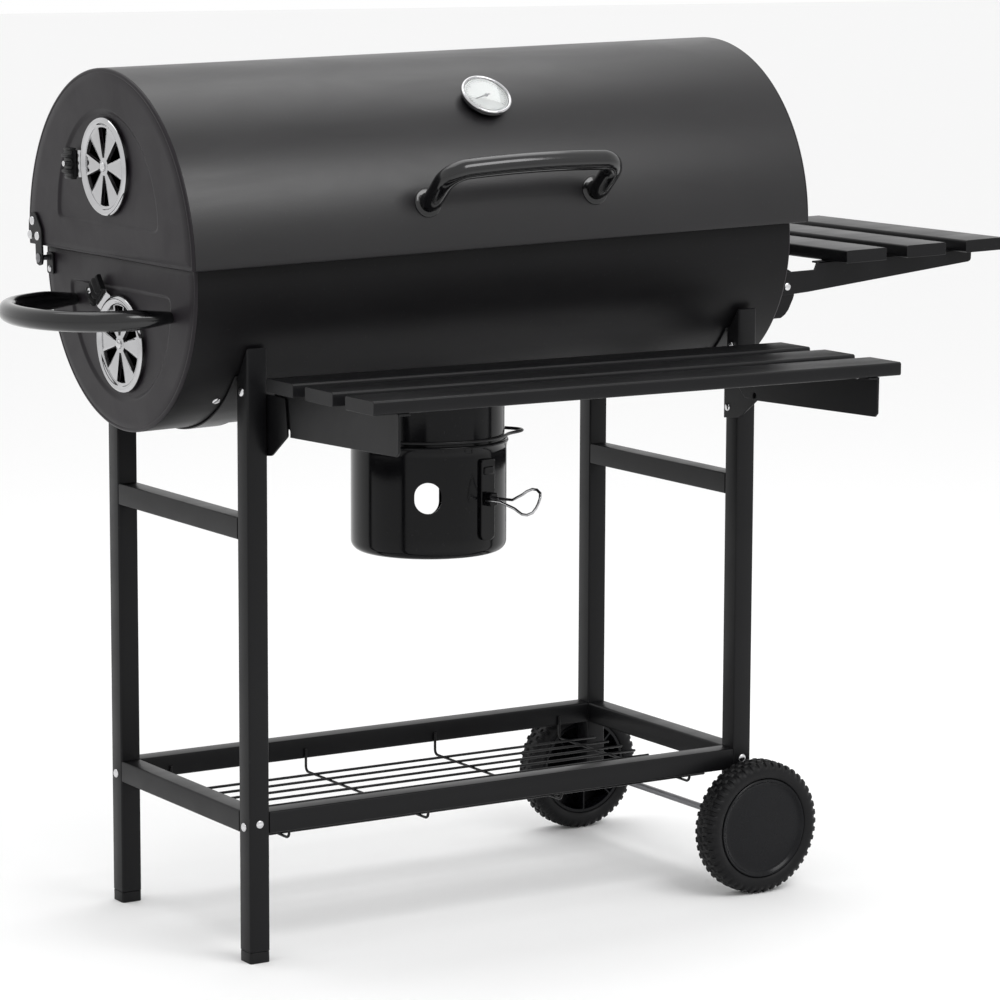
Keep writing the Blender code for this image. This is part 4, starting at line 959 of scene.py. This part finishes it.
# ------------------------------------------------------------------ thermometer
def build_thermometer():
    """A turned case with a rolled bezel, an enamel dial with ticks and a needle under a low glass dome."""
    angle = radians(48.6)
    out = np.array([0, -cos(angle), sin(angle)])
    foot = np.array([-0.012, 0, 0]) + out * LID_RADIUS
    rise = np.linspace(0, pi, 9)
    bezel = np.column_stack([0.0272 + 0.0017 * np.cos(rise), 0.0096 + 0.0017 * np.sin(rise)])
    profile = np.vstack([[(0.0, 0.0004), (0.0230, 0.0004), (0.0248, 0.0012), (0.0262, 0.0036), (0.0284, 0.0070),
                          (0.0289, 0.0090)], bezel, [(0.0255, 0.0086), (0.0250, 0.0078), (0.0, 0.0078)]])
    make("thermometer_case", turning(profile, foot, out, 56), "lid", VENT_CHROME, BARREL, ["thermometer"],
         crease=40)
    stem = turning([(0, -0.047), (0.0026, -0.0455), (0.0030, -0.043), (0.0030, 0.0008), (0, 0.0008)], foot, out, 16)
    nut = turning([(0, -0.0030), (0.0075, -0.0030), (0.0082, -0.0036), (0.0082, -0.0064), (0.0075, -0.0070),
                   (0, -0.0070)], foot, out, 6)
    make("thermometer_stem", together(stem, nut), "lid", PLATED_STEEL, BARREL, crease=40)
    dial = turning([(0, 0.0080), (0.0249, 0.0080), (0.0249, 0.0084), (0, 0.0084)], foot, out, 48)
    make("thermometer_dial", dial, "lid", DIAL_WHITE, BARREL, crease=40)
    side = np.array([1.0, 0, 0])
    up = np.cross(out, side)
    turn = np.column_stack([side, up, out])

    def on_dial(shape):
        return shape[0] @ turn.T + foot, shape[1]

    marks = []
    for k in range(31):
        reading = radians(225 - 9 * k)
        long = 0.0036 if k % 5 == 0 else 0.0020
        tick = block((0.0225 - long, -0.00022, 0.0083), (0.0225, 0.00022, 0.0086))
        marks.append(on_dial(turned_about(tick, "Z", reading)))
    ring = turning([(0.0229, 0.0083), (0.0232, 0.0083), (0.0232, 0.0086), (0.0229, 0.0086), (0.0229, 0.0083)], foot, out, 64)
    make("thermometer_marks", together(ring, *marks), "lid", DIAL_INK, BARREL, crease=40)
    needle = plate([(-0.0050, -0.0007), (0.0, -0.0010), (0.0165, -0.0002), (0.0165, 0.0002), (0.0, 0.0010),
                    (-0.0050, 0.0007)], 0.0090, 0.0093, "Z")
    needle = on_dial(turned_about(needle, "Z", radians(196)))
    boss = turning([(0, 0.0084), (0.0020, 0.0084), (0.0020, 0.0095), (0.0014, 0.0099), (0, 0.0099)], foot, out, 20)
    make("thermometer_needle", together(needle, boss), "lid", DIAL_INK, BARREL, crease=40)
    radius = np.linspace(0, 0.0262, 10)
    top = np.column_stack([radius, 0.0112 - 0.0012 * (radius / 0.0262) ** 2])
    lens = np.vstack([top, (top - (0, 0.0007))[::-1]])
    make("thermometer_glass", turning(lens, foot, out, 48), "lid", GLASS, BARREL, crease=40)


# ------------------------------------------------------------------ hinges
def build_hinges():
    """Lid plate with rivets, barrel plate and pin at each end of the barrel."""
    rivets_lid, rivets_body = [], []
    for side, sign, lid_face, body_face in (("left", -1, LID_MIN_X, BODY_MIN_X), ("right", 1, LID_MAX_X, BODY_MAX_X)):
        upper = [(-0.008, -0.002), (-0.006, -0.007), (0.0, -0.0085), (0.006, -0.007), (0.008, -0.002), (0.008, 0.0197),
                 (0.0215, 0.0237), (0.0235, 0.0300), (0.0225, 0.0400), (0.0160, 0.0497), (0.0080, 0.0497), (0.0030, 0.0460),
                 (-0.0070, 0.0330), (-0.0080, 0.0280)]
        upper = np.array(upper) + (HINGE_Y, HINGE_Z)
        near, far = sorted((lid_face + sign * 0.0004, lid_face + sign * 0.0029))
        make("hinge_leaf_lid_" + side, plate(upper, near, far, "X"), "lid", FRAME_PAINT, BARREL,
             ["hinge_plate_lid_" + side], bevel=0.0006, crease=40)
        for y, z in ((0.1770, 0.0205), (0.1838, 0.0048), (0.1659, 0.0045)):
            rivets_lid.append(dome_bolt((lid_face + sign * 0.0028, y, z), (sign, 0, 0), 0.0050, 0.0030))
        lower = rounded_rectangle(0.0155, 0.0240, 0.003) + (HINGE_Y - 0.00225, HINGE_Z - 0.006)
        near, far = sorted((body_face + sign * 0.0004, body_face + sign * 0.0029))
        make("hinge_leaf_barrel_" + side, plate(lower, near, far, "X"), "cart", FRAME_PAINT, BARREL,
             ["hinge_plate_barrel_" + side], bevel=0.0005, crease=40)
        rivets_body.append(dome_bolt((body_face + sign * 0.0028, HINGE_Y - 0.002, HINGE_Z - 0.0125), (sign, 0, 0), 0.0036,
                                     0.0018))
        reach = abs(lid_face) + 0.0029
        pin = rod((sign * (abs(body_face) + 0.0008), HINGE_Y, HINGE_Z), (sign * (reach + 0.0005), HINGE_Y, HINGE_Z), 0.003, 20)
        head = dome_bolt((sign * (reach + 0.0004), HINGE_Y, HINGE_Z), (sign, 0, 0), 0.0052, 0.0019)
        make("hinge_rivet_pin_" + side, together(pin, head), "cart", PLATED_STEEL, BARREL, ["hinge_pin_" + side],
             crease=40)
    make("hinge_rivets_lid", together(*rivets_lid), "lid", BOLT_CHROME, BARREL, crease=40)
    make("hinge_rivets_barrel", together(*rivets_body), "cart", BOLT_CHROME, BARREL, crease=40)


# ------------------------------------------------------------------ grates inside
def build_grates():
    """Wires across a wire frame for cooking; the charcoal grate and its ledges keep their shapes and get grey steel."""
    low, high = (np.array(corner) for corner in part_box("cooking_grate"))
    centre_x = (BODY_MIN_X + BODY_MAX_X) / 2
    inner = BODY_RADIUS - SHEET
    half_x = (BODY_MAX_X - BODY_MIN_X) / 2 - SHEET - 0.006
    half_y = sqrt(inner ** 2 - (-0.036 - BODY_Z) ** 2) - 0.0038
    z = -0.0336 + 0.0022
    radius = 0.0022
    wires = []
    for i in range(25):
        x = centre_x - half_x + 0.0055 + (2 * half_x - 0.011) / 24 * i
        wires.append(rod((x, -half_y + 0.002, z), (x, half_y - 0.002, z), radius, 10))
    for y in (-half_y + 0.0025, half_y - 0.0025):
        wires.append(rod((centre_x - half_x, y, z), (centre_x + half_x, y, z), 0.0022, 10))
    make("cooking_grate_wires", together(*wires), "cart", GRATE_CHROME, BARREL, ["cooking_grate"], crease=60)
    frame["nodes"]["charcoal_grate"].data.materials.clear()
    frame["nodes"]["charcoal_grate"].data.materials.append(GREY_STEEL)
    for side in ("front", "back"):
        ledge = frame["nodes"]["grate_ledge_" + side].data
        ledge.materials.clear()
        ledge.materials.append(GREY_STEEL)
    return low, high


# ------------------------------------------------------------------ ash bucket
def build_bucket():
    """A pail with a rolled rim, round air holes and a latch strap, and the collar that it hangs on."""
    centre = np.array([BUCKET_X, 0, 0])
    steps = 120
    angle = np.linspace(0, 2 * pi, steps, endpoint=False)
    collar_top = strap_surface(BUCKET_X, 0.0855 * np.sin(angle), 0.0006)
    rings = []
    for radius, base in ((0.0835, 0.5124), (0.0835, 0.5120), (0.0839, 0.5120), (0.0851, 0.5120), (0.0855, 0.5124),
                         (0.0855, 0.5190), (0.0859, 0.5200), (0.0859, 0.5225), (0.0855, 0.5235)):
        rings.append(np.column_stack([radius * np.cos(angle), radius * np.sin(angle), np.full(steps, base)]))
    for radius in (0.0855, 0.0835):
        rings.append(np.column_stack([radius * np.cos(angle), radius * np.sin(angle), collar_top]))
    make("ash_collar_ring", moved(weave(np.array(rings), wrap_rows=True, wrap_columns=True), centre), "cart", GLOSS_PAINT,
         replaces=["ash_collar"], crease=40)
    tip = np.exp(-((angle - radians(344) + pi) % (2 * pi) - pi) ** 2 / 0.045)
    ring = np.column_stack([(0.0882 + 0.021 * tip) * np.cos(angle), (0.0882 + 0.021 * tip) * np.sin(angle),
                            np.full(steps, 0.5325)])
    tangent = np.roll(ring, -1, 0) - np.roll(ring, 1, 0)
    side = np.cross((0, 0, 1), tangent / np.linalg.norm(tangent, axis=1)[:, None])
    around = np.linspace(0, 2 * pi, 10, endpoint=False)
    wire = ring[:, None] + 0.0019 * (side[:, None] * np.cos(around)[:, None] + np.array([0, 0, 1]) * np.sin(around)[:, None])
    make("collar_wire", moved(weave(wire, wrap_rows=True, wrap_columns=True), centre), "cart", WIRE_PAINT,
         crease=60)
    r, low, high = BUCKET_RADIUS, 0.401, 0.528
    corner = arc(0.011, 0, -90, 8, (r - 0.011, low + 0.011))
    roll = arc(0.0021, -60, 200, 9, (r - 0.0001, high - 0.0021))
    heights = np.linspace(low + 0.022, high - 0.010, 40)
    outer = np.column_stack([np.full(40, r), heights])
    floor_z = low + 0.010
    profile = np.vstack([[(0, floor_z - 0.0012), (r - 0.018, floor_z - 0.0012), (r - 0.0145, low + 0.001), (r - 0.013, low)],
                         corner[::-1], outer, roll, [(r - 0.0022, high - 0.004), (r - 0.0022, high - 0.010)]])
    count = len(profile)
    inner = np.column_stack([np.full(40, r - 0.0012), heights])[::-1]
    profile = np.vstack([profile[:count - 1], [(r - 0.0012, high - 0.006)], inner, [(r - 0.0012, floor_z + 0.0003),
                                                                                  (r - 0.002, floor_z), (0, floor_z)]])
    grid_steps = 160
    pail = turning(profile, (0, 0, 0), (0, 0, 1), grid_steps)
    obj = make("ash_pail", moved(pail, centre), "ash_bucket", GLOSS_PAINT, replaces=["ash_bucket"],
               crease=38)
    holes = []
    for turn, bottom, top, width in ((47.0, 0.4535, 0.4885, 0.030), (223.0, 0.424, 0.476, 0.034)):
        half = width / 2
        loop = np.vstack([arc(half, 0, 180, 17, (0, top - half)), arc(half, 180, 360, 17, (0, bottom + half))])
        hole = plate(loop, 0.070, 0.110, "X")
        holes.append(moved(turned_about(hole, "Z", radians(-90 - turn) + LATCH_TURN), centre))
    punch(obj, holes)
    y0 = -r - 0.0038
    outline = np.vstack([arc(0.004, 0, 90, 5, (0.007, 0.508)), arc(0.004, 90, 180, 5, (-0.007, 0.508)),
                         arc(0.008, 180, 270, 7, (-0.003, 0.428)), arc(0.008, 270, 360, 7, (0.003, 0.428))])
    strap = plate(outline, y0, -r + 0.001, "Y")
    bridge = plate(rounded_rectangle(0.0125, 0.0150, 0.003) + (0, 0.467), -r - 0.0128, y0 + 0.0005, "Y")
    upper = plate(rounded_rectangle(0.0150, 0.0090, 0.002) + (0, 0.4990), y0 - 0.0016, y0 + 0.0005, "Y")
    strap = turned_about(together(strap, bridge, upper), "Z", LATCH_TURN)
    make("pail_strap", moved(strap, centre), "ash_bucket", GLOSS_PAINT, bevel=0.0009, crease=45)
    wire, half = 0.0016, 0.0100
    side = np.array([(0.0065, 0, 0), (0.0090, 0, 0), (half, -0.0012, 0), (half, -0.006, 0), (half, -0.022, 0.0006),
                     (half, -0.040, 0.002), (0.0125, -0.046, 0.0024), (0.0155, -0.053, 0.003), (0.0155, -0.060, 0.003),
                     (0.0120, -0.0665, 0.003), (0.0060, -0.0690, 0.003), (0.0, -0.0695, 0.003)])
    path = np.vstack([side * (-1, 1, 1), side[::-1][1:]])
    share = np.clip((-path[:, 1] - 0.026) / 0.020, 0, 1)
    twist = radians(58) * share * share * (3 - 2 * share)
    path = np.column_stack([path[:, 0] * np.cos(twist), path[:, 1], path[:, 2] + path[:, 0] * np.sin(twist)])
    loop = moved(sweep(path, (0, 0, 1), wire, 10), (0, -r - 0.009, 0.467))
    loop = turned_about(loop, "Z", LATCH_TURN)
    make("latch_wire", moved(loop, centre), "bucket_latch", VENT_CHROME, replaces=["bucket_latch"], crease=60)


def punch(obj, cutters):
    """Cuts shapes out of a finished piece and sets its sharp edges again."""
    for points, blocks in cutters:
        cut_out(obj, (CART(points), blocks))
    obj.data.set_sharp_from_angle(angle=radians(38))


# ------------------------------------------------------------------ shelves
def build_front_shelf():
    half, width, height, top = 0.3285, 0.057, 0.0145, 0.6365
    for i, label in enumerate(("front", "middle", "back")):
        y = -0.428 + width / 2 + i * 0.082
        shape = square_bar(-half, half, (y, top - height / 2), "X", width, height, 0.0024)
        make("slat_front_" + label, shape, "front_shelf", FRAME_PAINT, replaces=["front_slat_" + label],
             crease=40)
    inner, arm_top, tip = LEG_X - TUBE / 2, top - height - 0.0004, -0.4272
    rivets_shelf, rivets_cart = [], []
    for side, sign in (("left", -1), ("right", 1)):
        gusset = [(-0.1400, 0.5451), (-0.1400, 0.6130), (-0.1985, 0.6130), (-0.2000, 0.6110), (-0.2047, 0.5745),
                  (-0.2040, 0.5725), (-0.1716, 0.5495), (-0.1690, 0.5485)]
        near, far = sorted((sign * (inner - 0.0004), sign * (inner - 0.0029)))
        make("gusset_plate_" + side, plate(gusset, near, far, "X"), "cart", FRAME_PAINT,
             replaces=["shelf_gusset_" + side], bevel=0.0005, crease=40)
        outside = inner - 0.0033
        notch = arc(0.0035, 0, 180, 7, (-0.2025, 0.5775))
        web = np.vstack([[(-0.1725, arm_top), (-0.1725, 0.583), (-0.184, 0.573), (-0.199, 0.573)], notch,
                         [(-0.206, 0.572), (tip + 0.004, 0.5785), (tip, 0.5825), (tip, arm_top)]])
        near, far = sorted((sign * outside, sign * (outside - 0.0025)))
        arm = plate(web, near, far, "X")
        edge_x = sorted((sign * outside, sign * (outside - 0.014)))
        flange = block((edge_x[0], tip, arm_top - 0.0022), (edge_x[1], -0.200, arm_top))
        make("shelf_bracket_" + side, together(arm, flange), "front_shelf", FRAME_PAINT,
             replaces=["front_arm_" + side], bevel=0.0005, crease=40)
        rivets_shelf.append(dome_bolt((sign * (outside - 0.0024), -0.185, 0.595), (-sign, 0, 0), 0.0050, 0.0026))
        for z in (0.5580, 0.5980):
            spot = (sign * (inner - 0.0028), -0.1475, z)
            rivets_cart.append(dome_bolt(spot, (-sign, 0, 0), 0.0046, 0.0024))
        for i in range(3):
            y = -0.428 + width / 2 + i * 0.082
            if y < -0.21:
                screw = dome_bolt((sign * (outside - 0.0080), y, arm_top - 0.0021), (0, 0, -1), 0.0036, 0.0022)
                rivets_shelf.append(screw)
    make("shelf_rivets_front", together(*rivets_shelf), "front_shelf", BOLT_CHROME, crease=40)
    make("gusset_bolts", together(*rivets_cart), "cart", BOLT_CHROME, crease=40)


def build_side_shelf():
    half, width, height, top = 0.180, 0.057, 0.0145, -0.0447
    for i, label in enumerate(("inner", "middle", "outer")):
        x = 0.440 + width / 2 + i * 0.0865
        shape = square_bar(-half, half, (x, top - height / 2), "Y", width, height, 0.0024)
        make("slat_side_" + label, shape, "side_shelf", FRAME_PAINT, BARREL, ["side_slat_" + label],
             crease=40)
    arm_top, tip = top - height - 0.0004, 0.440 + 2 * 0.0865 + 0.040
    screws, bolts = [], []
    for side, sign in (("front", -1), ("back", 1)):
        y = sign * 0.137
        web = [(0.372, -0.0900), (0.374, -0.0935), (0.378, -0.0950), (0.4145, -0.0934), (tip - 0.004, -0.0752),
               (tip - 0.001, -0.0740), (tip, -0.0715), (tip, arm_top), (0.428, arm_top), (0.424, -0.0685), (0.376, -0.0685),
               (0.373, -0.0700), (0.372, -0.0730)]
        near, far = sorted((y, y + sign * 0.0025))
        ledge = sorted((y + sign * 0.0025, y - sign * 0.011))
        arm = together(plate(web, near, far, "Y"), block((0.430, ledge[0], arm_top - 0.0022), (tip, ledge[1], arm_top)))
        make("side_bracket_" + side, arm, "side_shelf", FRAME_PAINT, BARREL, ["side_arm_" + side],
             bevel=0.0005, crease=40)
        screws.append(dome_bolt((0.385, y + sign * 0.0024, -0.085), (0, sign, 0), 0.0046, 0.0024))
        for i in range(3):
            spot = (0.440 + width / 2 + i * 0.0865, y - sign * 0.0045, arm_top - 0.0021)
            screws.append(dome_bolt(spot, (0, 0, -1), 0.0036, 0.0022))
        ear = [(0.3648, -0.121), (0.378, -0.121), (0.384, -0.1175), (0.389, -0.112), (0.3955, -0.100), (0.397, -0.096),
               (0.397, -0.074), (0.3955, -0.070), (0.389, -0.066), (0.3648, -0.066)]
        near, far = sorted((y - sign * 0.0004, y - sign * 0.0029))
        foot = sorted((y - sign * 0.0004, y - sign * 0.024))
        shape = together(plate(ear, near, far, "Y"), block((BODY_MAX_X + 0.0004, foot[0], -0.116),
                                                           (BODY_MAX_X + 0.0029, foot[1], -0.068)))
        make("side_mount_" + side, shape, "cart", FRAME_PAINT, BARREL, ["shelf_mount_" + side],
             bevel=0.0005, crease=40)
        for z in (-0.080, -0.104):
            bolts.append(dome_bolt((BODY_MAX_X + 0.0028, y - sign * 0.0150, z), (1, 0, 0), 0.0048, 0.0026))
    make("side_shelf_screws", together(*screws), "side_shelf", BOLT_CHROME, BARREL, crease=40)
    make("side_mount_bolts", together(*bolts), "cart", BOLT_CHROME, BARREL, crease=40)


add_camera()
add_studio()
build_frame()
build_rack()
build_wheels()
build_barrel()
build_cradle()
build_vent("lid_damper", "lid_damper", LID_MIN_X, VENT_Z_LID, 0.0)
build_vent("barrel_damper", "barrel_damper", BODY_MIN_X, VENT_Z_BODY, 52.0)
build_carry_handle()
build_lid_handle()
build_thermometer()
build_hinges()
build_grates()
build_bucket()
build_front_shelf()
build_side_shelf()
